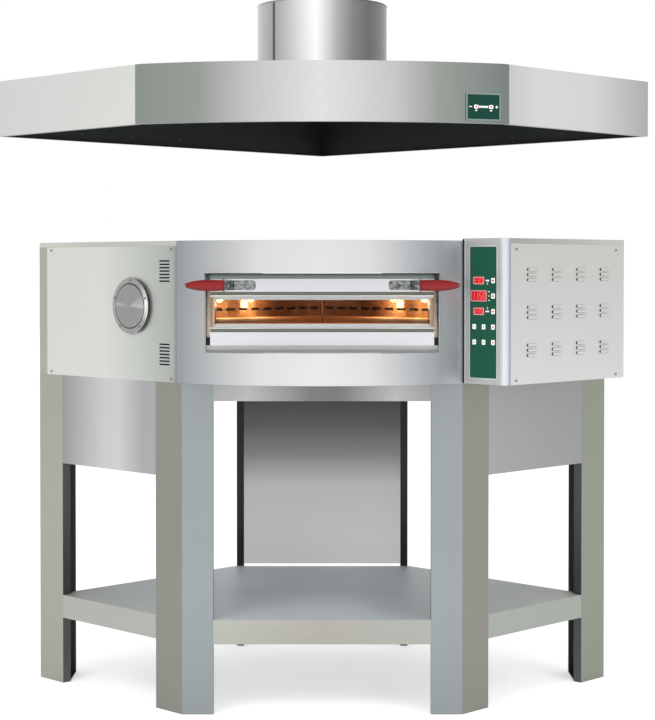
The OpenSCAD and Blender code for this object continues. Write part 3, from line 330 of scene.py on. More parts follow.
@cache
def black_fleece_and_shade():
    """Black of the fleece, and painted shade in deep openings and gaps"""
    return coated("deep_black", srgb(14, 14, 14), 90, 0.3, roughness=0.95)


@cache
def screw_steel(shade):
    return brushed(f"screw_steel_{shade}", tone(shade), roughness=0.25)


@cache
def cap_white():
    return coated("key_cap", settings("oven_controls").key_white, 300, 0.04, roughness=0.4)


@cache
def print_white():
    return coated("print_white", settings("oven_controls").key_white, 300, 0.04)


@cache
def print_red():
    return coated("key_symbol", settings("oven_controls").symbol_red, 300, 0.1)


# Modelling helpers

def deselect():
    if bpy.context.object and bpy.context.object.mode != "OBJECT":
        end_edit()
    for thing in bpy.context.view_layer.objects:
        thing.select_set(False)


def activate(piece):
    deselect()
    piece.select_set(True)
    bpy.context.view_layer.objects.active = piece


def edit(piece):
    """Opens a piece in edit mode, with all of it selected"""
    activate(piece)
    bpy.ops.object.mode_set(mode="EDIT")
    bpy.ops.mesh.select_all(action="SELECT")


def end_edit():
    bpy.ops.object.mode_set(mode="OBJECT")


def pick(piece, test, kind="FACE"):
    """In edit mode, selects the faces, edges or vertices for which a test holds"""
    end_edit()
    groups = {"FACE": piece.data.polygons, "EDGE": piece.data.edges, "VERT": piece.data.vertices}
    for group in groups.values():
        group.foreach_set("select", [False] * len(group))
    for item in groups[kind]:
        item.select = bool(test(item))
    bpy.ops.object.mode_set(mode="EDIT")
    bpy.ops.mesh.select_mode(type=kind)


def ends(piece, item):
    """The two corners of an edge"""
    return [piece.data.vertices[i].co for i in item.vertices]


def extrude(x=0, y=0, z=0):
    bpy.ops.mesh.extrude_region_move(TRANSFORM_OT_translate={"value": (x, y, z)})


def turn_outwards():
    """Lets all faces of the mesh in edit mode point outwards, and leaves edit mode"""
    bpy.ops.mesh.select_all(action="SELECT")
    bpy.ops.mesh.normals_make_consistent(inside=False)
    end_edit()


def apply_modifier(piece, kind, **values):
    activate(piece)
    made = piece.modifiers.new(kind.title(), kind)
    for name, value in values.items():
        setattr(made, name, value)
    bpy.ops.object.modifier_apply(modifier=made.name)


def round_edges(piece, width, fold):
    """Rounds the edges that fold by more than some degrees"""
    apply_modifier(piece, "BEVEL", width=width, segments=2, limit_method="ANGLE",
                   angle_limit=math.radians(fold), use_clamp_overlap=True)


def smooth(piece, fold=30):
    """Smooth bows and folds, with the large flat faces kept flat"""
    activate(piece)
    bpy.ops.object.shade_smooth_by_angle(angle=math.radians(fold))
    apply_modifier(piece, "WEIGHTED_NORMAL", keep_sharp=True, weight=100)
    return piece


def settle(piece, matrix=Matrix.Identity(4)):
    """Moves the mesh to its place and leaves the object at the origin"""
    activate(piece)
    piece.matrix_basis = matrix @ piece.matrix_basis
    bpy.ops.object.transform_apply(location=True, rotation=True, scale=True)


def facing(origin, out):
    """Matrix of an upright face: X to the viewer's right, Y up, Z out of the face"""
    made = Matrix((UP.cross(out).normalized(), UP, out)).transposed().to_4x4()
    made.translation = origin
    return made


def corners(node):
    return [vertex.co.copy() for vertex in NODES[node].data.vertices]


def extent(points, direction):
    reach = [point.dot(direction) for point in points]
    return min(reach), max(reach)


def face_of(points, out):
    """Matrix of the outer upright face of some corners, with its width, height and depth"""
    right = UP.cross(out).normalized()
    (left, far), (low, high), (back, front) = (extent(points, way) for way in (right, UP, out))
    middle = right * (left + far) / 2 + UP * (low + high) / 2 + out * front
    return facing(middle, out), far - left, high - low, front - back


def toward(way, least):
    """Test for painted: true for the faces that look a way"""
    return lambda at, normal: normal.dot(way) > least


def painted(piece, finish, *parts):
    """Gives a piece its finish. parts holds further finishes, each with a test of a face's centre and normal"""
    slots = piece.data.materials
    slots.clear()
    slots.append(finish.done())
    for other, test in parts:
        slots.append(other.done())
        for face in piece.data.polygons:
            if test(face.center, face.normal):
                face.material_index = len(slots) - 1
    return piece


def moved(piece, matrix, x=0, y=0, z=0):
    """Puts a piece made about the origin at a place on a face"""
    settle(piece, matrix @ Matrix.Translation((x, y, z)))
    return piece


def laid(piece, finish, matrix, x=0, y=0, z=0):
    """Paints a piece made about the origin and puts it at a place on a face"""
    return moved(painted(piece, finish), matrix, x, y, z)


def joined(pieces):
    deselect()
    for piece in pieces:
        piece.select_set(True)
    bpy.context.view_layer.objects.active = pieces[0]
    bpy.ops.object.join()
    return pieces[0]


def merged_copy(node):
    """Copy of a CAD node with its doubles merged and its flat faces whole"""
    piece = NODES[node].copy()
    piece.data = NODES[node].data.copy()
    for key in list(piece.keys()):
        del piece[key]
    piece.parent = None
    piece.hide_viewport = piece.hide_render = False
    bpy.context.scene.collection.objects.link(piece)
    edit(piece)
    bpy.ops.mesh.remove_doubles(threshold=0.000002)
    bpy.ops.mesh.dissolve_limited(angle_limit=math.radians(0.2))
    end_edit()
    return piece


def islands(node):
    """The corners of each separate solid of a CAD node"""
    edit(merged_copy(node))
    bpy.ops.mesh.separate(type="LOOSE")
    end_edit()
    found = []
    for part in list(bpy.context.selected_objects):
        found.append([vertex.co.copy() for vertex in part.data.vertices])
        bpy.data.objects.remove(part)
    return found


def added(piece, name, node):
    """Names a piece that rides with a CAD node"""
    piece.name = name
    piece.data.name = name
    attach(piece, BODY_OF[node])
    return piece


def instead(piece, node, name=None):
    """Lets a piece stand for a CAD node"""
    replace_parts(added(piece, name or node + "_finished", node), node)


def dressed(node, finish, *parts, edge=None):
    """Stands in for a CAD node with rounded folds, smooth bows and the finishes that painted takes"""
    piece = merged_copy(node)
    edge = settings("oven_finish").edge if edge is None else edge
    if edge:
        round_edges(piece, edge, 30)
    instead(painted(smooth(piece), finish, *parts), node)


def flat_sheet(width, height, radius, steps=6):
    """A flat sheet in the XY plane with round corners, left in edit mode"""
    bpy.ops.mesh.primitive_plane_add(size=1)
    piece = bpy.context.object
    piece.scale = (width, height, 1)
    settle(piece)
    edit(piece)
    bpy.ops.mesh.bevel(offset=radius, segments=steps, affect="VERTICES")
    return piece


def rounded_plate(width, height, thick, radius, edge=0.0, steps=6):
    """A plate in the XY plane with round corners, from z 0 up to its thickness"""
    piece = flat_sheet(width, height, radius, steps)
    extrude(z=thick)
    turn_outwards()
    if edge:
        round_edges(piece, edge, 50)
    return smooth(piece, 35)


def rounded_ring(width, height, thick, radius, wall):
    """A flat frame with round corners in the XY plane, from z 0 up to its thickness"""
    piece = flat_sheet(width, height, radius)
    bpy.ops.mesh.inset(thickness=wall)
    bpy.ops.mesh.delete(type="FACE")
    bpy.ops.mesh.select_all(action="SELECT")
    extrude(z=thick)
    turn_outwards()
    return smooth(piece, 35)


def turned(profile, steps=48, close=True):
    """A turned form about Z: rings of the profile's radii and heights, closed at both ends, or else a ring
    whose last radius and height are its first"""
    (radius, z), rest = profile[0], profile[1:]
    bpy.ops.mesh.primitive_circle_add(vertices=steps, radius=radius, location=(0, 0, z),
                                      fill_type="NGON" if close else "NOTHING")
    piece = bpy.context.object
    settle(piece)
    edit(piece)
    bpy.ops.mesh.select_mode(type="VERT")
    bpy.ops.mesh.select_all(action="SELECT")
    for next_radius, next_z in rest:
        extrude(z=next_z - z)
        scale = next_radius / radius
        bpy.ops.transform.resize(value=(scale, scale, 1), center_override=(0, 0, next_z))
        radius, z = next_radius, next_z
    bpy.ops.mesh.select_all(action="SELECT")
    bpy.ops.mesh.remove_doubles(threshold=0.000001)
    turn_outwards()
    return smooth(piece, 32)


def screw_head(radius, shade=186):
    """Pan head with a recess for the key, the recess painted black as shade"""
    head = turned([(0.85 * radius, 0), (radius, 0.2 * HEAD_H), (radius, 0.55 * HEAD_H),
                   (0.82 * radius, 0.92 * HEAD_H), (0.6 * radius, HEAD_H), (0.46 * radius, HEAD_H),
                   (0.4 * radius, 0.3 * HEAD_H)], steps=24)
    return painted(head, screw_steel(shade),
                   (black_fleece_and_shade(), lambda at, normal: at.xy.length < 0.45 * radius and at.z < 0.8 * HEAD_H))


def light(name, kind, power, place, **values):
    """Hangs a light at a place. values holds further settings of its lamp"""
    lamp = bpy.data.objects.new(name, bpy.data.lights.new(name, kind))
    for key, value in {"energy": power, **values}.items():
        setattr(lamp.data, key, value)
    bpy.context.scene.collection.objects.link(lamp)
    lamp.location = place
    return lamp


class OVEN_OT_stage(bpy.types.Operator):
    """Makes the camera, the soft light and the pale floor"""
    bl_idname = "oven.stage"
    bl_label = "Stage"

    def execute(self, context):
        stage = settings("oven_stage")
        camera = bpy.data.objects.new("camera", bpy.data.cameras.new("camera"))
        context.scene.collection.objects.link(camera)
        camera.location = (0, stage.camera_y, stage.camera_z)
        camera.rotation_euler = (math.pi / 2 - stage.tilt, 0, 0)
        camera.data.lens = stage.lens
        camera.data.shift_x = stage.shift_x
        camera.data.shift_y = stage.shift_y
        context.scene.camera = camera
        context.scene.view_settings.view_transform = "Standard"
        self.world(context, stage)
        self.floor(stage)
        oven_middle, stand_middle = Vector((0, 0, 1.0)), Vector((0, 0, 0.5))
        for name, power, size, place, aim in (
                ("key_light", stage.key_power, 2.6, (-2.2, -3.4, 3.6), oven_middle),
                ("fill_light", stage.fill_power, 2.6, (2.8, -3.0, 2.6), oven_middle),
                ("low_light", stage.low_power, 1.6, (0, -3.8, 0.5), stand_middle)):
            lamp = light(name, "AREA", power, place, size=size)
            lamp.rotation_euler = (aim - lamp.location).to_track_quat("-Z", "Y").to_euler()
            lamp.visible_glossy = False
        return {"FINISHED"}

    def world(self, context, stage):
        """Soft white room, and pure white where it is seen"""
        world = bpy.data.worlds.new("studio")
        context.scene.world = world
        world.use_nodes = True
        nodes = world.node_tree.nodes
        room, white = nodes["Background"], nodes.new("ShaderNodeBackground")
        for background, strength in ((room, stage.room_light), (white, 1)):
            background.inputs["Color"].default_value = (1, 1, 1, 1)
            background.inputs["Strength"].default_value = strength
        self.seen_mix(world.node_tree, room, white, nodes["World Output"])

    def floor(self, stage):
        """Pale floor that glows a little where it is seen"""
        deselect()
        bpy.ops.mesh.primitive_plane_add(size=60)
        plane = bpy.context.object
        plane.name = "floor"
        paint = coated("floor_white", (0.86, 0.86, 0.86), 0.4, 0.01, roughness=0.9)
        painted(plane, paint)
        glow, both = paint.node("Emission", Strength=stage.floor_glow), paint.node("AddShader")
        paint.link(paint.shader.outputs[0], both.inputs[0])
        paint.link(glow.outputs[0], both.inputs[1])
        self.seen_mix(paint.tree, paint.shader, both, paint.tree.nodes["Material Output"])

    def seen_mix(self, tree, plain, seen, end):
        """Shows one shader to the camera, also in metal and through glass, and the plain one to all else"""
        path = tree.nodes.new("ShaderNodeLightPath")
        total = path.outputs["Is Camera Ray"]
        for name in ("Is Glossy Ray", "Is Transmission Ray"):
            both = tree.nodes.new("ShaderNodeMath")
            both.operation = "MAXIMUM"
            tree.links.new(total, both.inputs[0])
            tree.links.new(path.outputs[name], both.inputs[1])
            total = both.outputs[0]
        mix = tree.nodes.new("ShaderNodeMixShader")
        for output, socket in zip((total, plain.outputs[0], seen.outputs[0]), mix.inputs):
            tree.links.new(output, socket)
        tree.links.new(mix.outputs[0], end.inputs["Surface"])


class OVEN_OT_stand(bpy.types.Operator):
    """Dresses the legs, the shelf, the rails and the panels of the stand"""
    bl_idname = "oven.stand"
    bl_label = "Stand"

    def execute(self, context):
        finish = settings("oven_finish")
        self.legs(finish)
        # Painted shade: the posts' faces that look to the front and inwards are dark
        dark = brushed("post_painted_shade", srgb(30, 33, 33), metallic=0.4)
        dressed("rear_posts", brushed("post_back", finish.leg_outer),
                (dark, lambda at, normal: normal.y < 0.5 and normal.x * at.x <= 0))
        dressed("foot_plates", brushed("plate_dark", srgb(80, 82, 82), GRAIN_X))
        self.shelf(finish)
        # Painted sheen and shade along the rails
        rail = brushed("rail", finish.rail_steel, GRAIN_ACROSS)
        dressed("top_rails", rail.over("top_rails", RIGHT, [
            (0.31, 162), (0.37, 180), (0.48, 122), (0.53, 120), (0.63, 178), (0.7, 145)]))
        # Painted sheen and shade along the aprons
        panel = brushed("apron", finish.apron_steel, roughness=0.4)
        dressed("side_aprons", panel.over("side_aprons", RIGHT, [
            (0, 150), (0.09, 197), (0.12, 200), (0.17, 166), (0.79, 161), (1, 152)]))
        # Painted light on the front face: pale at the foot, falling to deep painted shade under the oven
        panel = brushed("rear_panel", tone(250), GRAIN_ACROSS, metallic=0.3, roughness=0.5)
        panel.over("stand_rear_panel", UP, [(0, 250), (0.4, 222), (0.55, 155), (0.7, 108), (1, 8)])
        dressed("stand_rear_panel", brushed("rear_panel_back", finish.apron_steel), (panel, toward(FRONT, 0.5)))
        dressed("stand_bolts", brushed("bolt_steel", finish.bright_steel), edge=0.0003)
        return {"FINISHED"}

    def shaded(self, at, normal):
        """True for faces in the shade under the oven: they look to the middle of the stand and to the front"""
        return normal.y < 0.1 and normal.dot(Vector((at.x, at.y, 0))) < 0

    def legs(self, finish):
        """Folded legs in lit and shaded copies of one steel, one for each way a face looks, painted a little
        darker near the floor and dark on the faces in the shade
        """
        plain = brushed("leg_back", finish.leg_outer)
        front = brushed("leg_front", finish.leg_steel).over("front_leg_left", UP, [
            (0.1, (139, 145, 147)), (0.51, (138, 144, 146)), (0.82, (145, 151, 153))])
        warm = brushed("leg_slanted", finish.leg_warm).over("front_leg_left", UP, [
            (0.1, (130, 130, 122)), (0.56, (134, 134, 126)), (0.82, (139, 139, 131))])
        outer = brushed("leg_outer", finish.leg_outer)
        outer.over("top_rails", RIGHT, [(0.03, (162, 164, 155)), (0.97, (142, 147, 135))])
        outer.over("outer_leg_left", UP, [(0.1, (157, 159, 150)), (0.61, (168, 170, 161))])
        inner = brushed("leg_inside", finish.leg_inside)
        for side, out in (("left", LEFT_OUT), ("right", BOX_OUT)):
            for leg, slanted in (("front_leg_", warm), ("outer_leg_", outer)):
                dressed(leg + side, plain, (inner, self.shaded), (front, toward(FRONT, 0.9)),
                        (slanted, toward(out, 0.9)))

    def shelf(self, finish):
        # Painted sheen and shade: the top lighter over the middle and darker toward its sides, the rims in lit
        # and shaded tones
        top = brushed("shelf_top", finish.shelf_steel, GRAIN_X, metallic=0.2, roughness=0.5)
        top.over("lower_shelf", RIGHT, [
            (0.05, (149, 153, 150)), (0.15, (160, 166, 164)), (0.32, (193, 199, 203)), (0.56, (195, 200, 204)),
            (0.65, (174, 180, 184)), (0.86, (162, 167, 163)), (0.98, (169, 172, 168))])
        rim = brushed("shelf_rim", finish.rim_steel, GRAIN_ACROSS, roughness=0.3)
        rim.over("lower_shelf", RIGHT, [
            (0.29, (163, 165, 158)), (0.5, (154, 151, 145)), (0.71, (153, 157, 151))])
        dressed("lower_shelf", top, (rim, lambda at, normal: abs(normal.z) < 0.5))


class OVEN_OT_casing(bpy.types.Operator):
    """Dresses the oven's casing, its inspection cover and its screws"""
    bl_idname = "oven.casing"
    bl_label = "Oven casing"

    def execute(self, context):
        finish = settings("oven_finish")
        # Painted sheen and shade: bright over the middle of the bow, darker toward its ends
        facade = brushed("facade", finish.oven_steel, roughness=0.4)
        dressed("curved_facade", facade.over("curved_facade", RIGHT, [
            (0.01, (148, 153, 157)), (0.29, 211), (0.5, 215), (0.66, 209), (0.85, (163, 168, 171)),
            (0.9, (157, 162, 165)), (0.95, (180, 185, 188))]))
        # Painted shade: the sheet darker toward the fold at the front, with a dark line of painted shade in the
        # fold
        side = brushed("side_sheet", finish.side_steel, roughness=0.4)
        left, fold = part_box("side_panels")[0].x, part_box("curved_facade")[0].x
        dressed("side_panels", side.across(RIGHT, [
            (left, (212, 212, 208)), (left + 0.2, (214, 214, 209)), (left + 0.33, (192, 196, 190)),
            (fold - 0.01, (169, 173, 169)), (fold - 0.006, 150), (fold + 0.006, 144), (-fold, 205)]))
        dressed("corner_posts", brushed("post_sheet", finish.leg_outer))
        # Painted sheen, lighter at the left end
        roof = brushed("roof_sheet", finish.lap_steel, GRAIN_X)
        dressed("roof_cover", roof.over("roof_cover", RIGHT, [
            (0, (204, 205, 197)), (0.11, (190, 191, 180)), (0.75, (190, 191, 184))]))
        wall = brushed("wall_sheet", finish.wall_steel)
        dressed("wall_panels", wall)
        dressed("base_tray", wall)
        self.screws()
        self.cover(finish)
        return {"FINISHED"}

    def screws(self):
        heads = []
        for points in islands("casing_screws"):
            matrix, width, _, _ = face_of(points, LEFT_OUT if points[0].x < 0 else BOX_OUT)
            heads.append(moved(screw_head(width / 2, 150), matrix, z=-HEAD_H))
        instead(joined(heads), "casing_screws", "casing_screw_heads")

    def cover(self, finish):
        """Round cover: a turned disc with a painted sheen and a groove round its raised middle painted dark as
        shade, on a neck painted black as the shade behind the disc, with a flange
        """
        matrix, width, _, _ = face_of(corners("inspection_cover"), LEFT_OUT)
        radius, boss, opening = width / 2, finish.cover_boss, finish.cover_opening
        groove = boss + 0.0035
        disc = turned([(radius - 0.002, -0.0062), (radius, -0.0052), (radius, -0.0034),
                       (radius - 0.0012, -0.0022), (groove, -0.0022), (boss + 0.0025, -0.0032),
                       (boss + 0.001, -0.0032), (boss, -0.0022), (boss - 0.0008, -0.0006), (boss - 0.002, 0.0)],
                      steps=96)
        # Painted sheen round the middle, and a bright painted highlight on the rim
        middle = turned_steel_sheen("cover_steel", finish.cover_steel, matrix, [
            (0.0, 0.74), (0.02, 0.59), (0.47, 0.59), (0.495, 0.97), (0.54, 0.82), (0.6, 0.59), (0.96, 0.59),
            (0.985, 0.86), (1.0, 0.74)])
        rim = turned_steel_sheen("cover_rim", tone(240), matrix, [
            (0.0, 0.5), (0.02, 0.38), (0.4, 0.36), (0.47, 0.8), (0.52, 1.0), (0.57, 0.7), (0.64, 0.36),
            (0.98, 0.4)])
        # The groove painted dark as shade
        dark = coated("cover_groove", srgb(70, 70, 68), 160, 0.1, 0.5)
        painted(disc, middle, (rim, lambda at, normal: at.xy.length > groove),
                (dark, lambda at, normal: boss < at.xy.length < groove))
        neck_radius, neck_back, neck_front = radius - 0.01, -0.019, -0.006
        neck = turned([(0.03, neck_back), (neck_radius, neck_back), (neck_radius, neck_front)], steps=64)
        inner, back, front = neck_radius - 0.002, -0.02, -0.0185
        flange = turned([(inner, back), (opening, back), (opening, front), (inner, front), (inner, back)],
                        steps=96, close=False)
        # The neck painted black as the shade behind the disc
        painted(neck, black_fleece_and_shade())
        painted(flange, brushed("cover_flange", finish.side_steel, roughness=0.4))
        instead(moved(joined([disc, neck, flange]), matrix), "inspection_cover")


class OVEN_OT_chamber(bpy.types.Operator):
    """Dresses the baking chamber, the stones and the heating rods, and lights its lamps"""
    bl_idname = "oven.chamber"
    bl_label = "Baking chamber"

    def execute(self, context):
        finish = settings("oven_finish")
        walls = brushed("chamber_sheet", finish.chamber_steel, GRAIN_X, roughness=0.24, Anisotropic=0.9,
                        Anisotropic_Rotation=0.25)
        # Painted light over the walls: shade far from the corner of the two walls, lighter near it, and a
        # painted highlight down the corner itself
        tones = [(0.2, (142, 106, 76)), (0.08, (196, 160, 140)), (0.0035, (196, 160, 140)),
                 (0.0015, (250, 214, 184))]
        walls.across(RIGHT, [(-at, value) for at, value in tones] + tones[::-1])
        dressed("chamber_shell", walls.mottled((34, 34, 4), 0.45))
        stone = Finish("baking_stone", finish.stone, roughness=0.8)
        stone.mottled((220, 220, 220), 0.25, 5.0)
        stone.mottled((9, 9, 9), 0.3, 4.0)
        stone.bumped(stone.noise((500, 500, 500), 4.0), 0.0002, 0.6)
        dressed("baking_stones", stone, edge=0.001)
        dressed("heating_elements", coated("heating_rod", srgb(70, 48, 38), 60, 0.4, 0.6), edge=0)
        painted(NODES["insulation"], black_fleece_and_shade())
        self.mouth(finish)
        self.lamps(finish)
        return {"FINISHED"}

    def lamps(self, finish):
        """Oven lamps: a steel holder with a small frosted lens, and the light that each gives"""
        holder = brushed("lamp_holder", srgb(120, 90, 66), roughness=0.3)
        lens = coated("lamp_lens", srgb(230, 190, 130), 300, 0.2, roughness=0.35,
                      Emission_Color=(1, 0.84, 0.6, 1), Emission_Strength=1.6)
        core = coated("lamp_core", srgb(255, 224, 170), 300, 0.1, roughness=0.3,
                      Emission_Color=(1, 0.74, 0.4, 1), Emission_Strength=9.0)
        below, ahead = 0.028, 0.022
        lamps = []
        for i, points in enumerate(islands("chamber_lamps")):
            matrix, _, height, depth = face_of(points, BOX_OUT if points[0].x < 0 else LEFT_OUT)
            radius = height / 2
            lamp = turned([(0.8 * radius, -depth), (0.8 * radius, -0.0105), (radius, -0.01), (radius, -0.0085),
                           (0.8 * radius, -0.0065), (0.6 * radius, -0.003), (0.4 * radius, -0.001),
                           (0.15 * radius, 0)], steps=32)
            painted(lamp, holder, (lens, lambda at, normal: at.z > -0.0082),
                    (core, lambda at, normal: at.z > -0.003 and at.xy.length < 0.55 * radius))
            lamps.append(moved(lamp, matrix))
            glow = light(f"chamber_light_{i}", "POINT", finish.lamp_power, matrix @ Vector((0, -below, ahead)),
                         color=(1, 0.79, 0.55), shadow_soft_size=0.012)
            glow.visible_transmission = False
        instead(joined(lamps), "chamber_lamps")
        low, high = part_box("chamber_shell")
        hearth = light("hearth_light", "AREA", finish.hearth_power, (0, low.y + 0.09, high.z - 0.03),
                       color=(1, 0.62, 0.34), shape="RECTANGLE", size=0.6, size_y=0.05)
        hearth.visible_transmission = hearth.visible_glossy = False

    def mouth(self, finish):
        """Frame of the mouth: painted shade on the reveals above and at the sides and at the top of the back
        faces, and a pale rounded sill below with a faint painted glow
        """
        steel = brushed("mouth_steel", finish.bright_steel, GRAIN_X, roughness=0.22)
        (_, front, flat), (_, _, top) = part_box("mouth_frame")
        foot, head = (corner.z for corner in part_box("door_frame"))
        reveal = front + 0.02
        # Painted light on the back faces: pale and warm low down, falling to painted shade at the top
        back = brushed("mouth_back", srgb(255, 244, 230), GRAIN_X, metallic=0.7, roughness=0.25)
        back.across(UP, [(head - 0.2, (255, 240, 222)), (head - 0.03, (226, 208, 192)),
                         (head + 0.004, (160, 170, 167)), (top - 0.007, (108, 120, 116)), (top, 70)])
        # Painted shade: the reveal above the door, and the sides, darker toward their ends
        above = brushed("mouth_above", srgb(118, 124, 122), GRAIN_X, metallic=0.6)
        beside = brushed("mouth_beside", tone(84), metallic=0.7, roughness=0.25)
        beside.over("mouth_frame", UP, [(0.03, 50), (0.24, 66), (0.55, 84), (0.98, 60)])
        # Painted light on the sill: a faint glow, and painted shade along its foot
        sill = brushed("mouth_sill", srgb(248, 255, 252), GRAIN_X, metallic=0.0, roughness=0.3,
                       Emission_Color=(0.95, 1, 0.98, 1), Emission_Strength=0.16)
        sill.across(UP, [(flat + 0.002, 60), (flat + 0.003, 110), (flat + 0.006, 255), (foot, 245)])
        dressed("mouth_frame", steel,
                (back, lambda at, normal: normal.y < -0.6 and at.y > reveal),
                (above, toward(DOWN, 0.4)),
                (beside, lambda at, normal: abs(normal.x) > 0.6),
                (sill, lambda at, normal: normal.z > 0.2 or at.z < foot + 0.002 and at.y > reveal))


class OVEN_OT_door(bpy.types.Operator):
    """Dresses the door, its glass, its handles and its hinges"""
    bl_idname = "oven.door"
    bl_label = "Door"

    def execute(self, context):
        finish = settings("oven_finish")
        self.frame(finish)
        self.handles(finish)
        dressed("hinge_pins", brushed("pin_steel", finish.bright_steel, GRAIN_X, roughness=0.2), edge=0)
        # Hinge blocks painted dark as shade
        dressed("hinge_blocks", brushed("hinge_dark", finish.shaded_hinge_metal))
        painted(NODES["door_glass"], coated("door_pane", (1.0, 0.95, 0.86), 3, 0.02, roughness=0.0,
                                            Transmission_Weight=1.0, IOR=1.03))
        dressed("door_seal", coated("rope_seal", srgb(70, 68, 64), 700, 0.4, roughness=0.9), edge=0.002)
        return {"FINISHED"}

    def frame(self, finish):
        """Door frame: bright rails, grooves painted dark as shade, rounded beads with a painted sheen that hold
        the panes, and warm stiles painted darker toward their outer edges
        """
        low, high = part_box("door_frame")
        bead_y, stile = low.y + 0.004, 0.012
        bright = brushed("door_steel", finish.door_steel, GRAIN_X, roughness=0.25)
        # Painted shade in the grooves beside the rails
        groove = brushed("door_groove", srgb(112, 112, 100), GRAIN_X, metallic=0.5)
        # Painted sheen on the beads: darker beside the rail, bright beside the glass
        bead = brushed("door_bead", srgb(240, 243, 245), GRAIN_X, metallic=0.6, roughness=0.25)
        bead.across(BACK, [(bead_y, 165), (bead_y + 0.004, 214), (bead_y + 0.016, 240)])
        # Painted shade on the stiles: darker toward their outer edges
        warm = brushed("door_stile", srgb(236, 214, 186), roughness=0.2)
        warm.across(RIGHT, [(low.x, (140, 112, 92)), (low.x + stile, (212, 188, 162)),
                            (high.x - stile, (212, 188, 162)), (high.x, (140, 112, 92))])
        warm.mottled((160, 160, 4), 0.4)
        piece = merged_copy("door_frame")
        edit(piece)

        def is_bead(item):
            a, b = ends(piece, item)
            return max(abs(a.y - bead_y), abs(b.y - bead_y)) < 0.0003 and abs(a.x - b.x) > 0.1

        pick(piece, is_bead, "EDGE")
        bpy.ops.mesh.bevel(offset=0.007, segments=5, affect="EDGES")
        end_edit()
        round_edges(piece, finish.edge, 50)
        painted(smooth(piece), bright,
                (groove, lambda at, normal: bead_y - 0.001 < at.y < low.y + 0.03),
                (bead, lambda at, normal: 0.1 < abs(normal.z) < 0.98 and normal.y < -0.15
                 and at.y < low.y + 0.021),
                (warm, lambda at, normal: abs(at.x) > high.x - 0.014 and at.y > bead_y - 0.001))
        instead(piece, "door_frame")

    def handles(self, finish):
        """Turned grips on chromed brackets"""
        # Chrome with painted reflections: a strong random mottle from dark to light
        chrome = Finish("bracket_chrome", srgb(176, 180, 180), 0.9, 0.2)
        chrome.times(chrome.ramp(chrome.noise((70, 70, 110), 4.0), [(0.36, 0.2), (0.5, 0.5), (0.62, 0.8)]))
        instead(joined([painted(self.bracket(side, finish), chrome) for side in (-1, 1)]), "handle_brackets")
        red = Finish("grip_red", finish.grip_red, roughness=0.35, Specular_IOR_Level=0.3)
        red.mottled((30, 200, 200), 0.12)
        grips, fittings = [], []
        for points in islands("handle_grips"):
            matrix, width, _, depth = face_of(points, RIGHT if points[0].x > 0 else -RIGHT)
            grips.append(laid(self.grip(width / 2, depth, finish), red, matrix, z=-depth))
        instead(joined(grips), "handle_grips")
        longest_screw, head_share = 0.05, 1.15
        for points in islands("door_screws"):
            left, right = extent(points, RIGHT)
            if right - left > longest_screw:
                matrix, width, _, depth = face_of(points, RIGHT if left > 0 else -RIGHT)
                fittings.append(laid(self.stud(width / 2, depth), chrome, matrix, z=-depth))
            else:
                matrix, width, _, _ = face_of(points, FRONT)
                fittings.append(moved(screw_head(width / 2 * head_share), matrix, z=-HEAD_H))
        instead(joined(fittings), "door_screws")

    def bracket(self, side, finish):
        """A folded strip: a plate with a round end on the door, and an arm that stands out to the grip"""
        points = [Vector((side * point.x, point.y, point.z)) for point in corners("handle_brackets")
                  if side * point.x > 0]
        (start, arm), (front, back), (low, high) = (extent(points, way) for way in (RIGHT, BACK, UP))
        near = 0.0004
        fold = max(point.x for point in points if point.y > back - near)
        turn = max(point.y for point in points if point.x > arm - near)
        bpy.ops.mesh.primitive_plane_add(size=1, rotation=(math.pi / 2, 0, 0))
        piece = bpy.context.object
        piece.scale = (fold - start, high - low, 1)
        piece.location = (side * (start + fold) / 2, back, (low + high) / 2)
        settle(piece)
        edit(piece)
        pick(piece, lambda item: all(abs(abs(end.x) - fold) < near for end in ends(piece, item)), "EDGE")
        extrude(side * (arm - fold), turn - back)
        extrude(y=front - turn)
        pick(piece, lambda item: abs(abs(item.co.x) - start) < near, "VERT")
        bpy.ops.mesh.bevel(offset=finish.bracket_round, segments=6, affect="VERTICES")
        end_edit()
        apply_modifier(piece, "SOLIDIFY", thickness=finish.bracket_t, offset=1, use_even_offset=True)
        round_edges(piece, 0.0007, 40)
        return smooth(piece, 40)

    def grip(self, radius, reach, finish):
        """Grip with a thin flange, swelling over its first third and tapering to its tip"""
        neck, steps, widest = 0.008, 18, 0.35
        body = radius * finish.grip_swell
        rings = [(radius * 0.7, 0), (radius * 0.96, 0.0006), (radius, 0.0016), (radius * 0.98, 0.0026),
                 (body * 0.9, 0.006)]
        for i in range(steps + 1):
            share = i / steps
            taper = 1 - 0.58 * max(0, (share - widest) / (1 - widest)) ** 2.3
            swell = 0.93 + 0.07 * math.sin(min(1, share / widest) * math.pi / 2)
            rings.append((body * swell * taper, neck + (reach - neck - 0.0015) * share))
        return turned(rings + [(body * 0.25, reach)], steps=40)

    def stud(self, ferrule, reach):
        """Nut, stud with its ferrule and tip, from the bracket to the end of the grip"""
        thin, tip = 0.004, 0.0064
        return turned([(0.006, 0), (0.007, 0.0008), (0.007, 0.0042), (0.006, 0.005), (thin, 0.005),
                       (thin, 0.0085), (ferrule * 0.92, 0.0086), (ferrule, 0.0094), (ferrule, 0.0106),
                       (ferrule * 0.86, 0.0113), (ferrule * 0.86, 0.0122), (thin, 0.0128),
                       (thin, reach - 0.0062), (tip, reach - 0.006), (tip * 0.9, reach - 0.004),
                       (tip * 0.6, reach - 0.001), (tip * 0.2, reach)], steps=32)


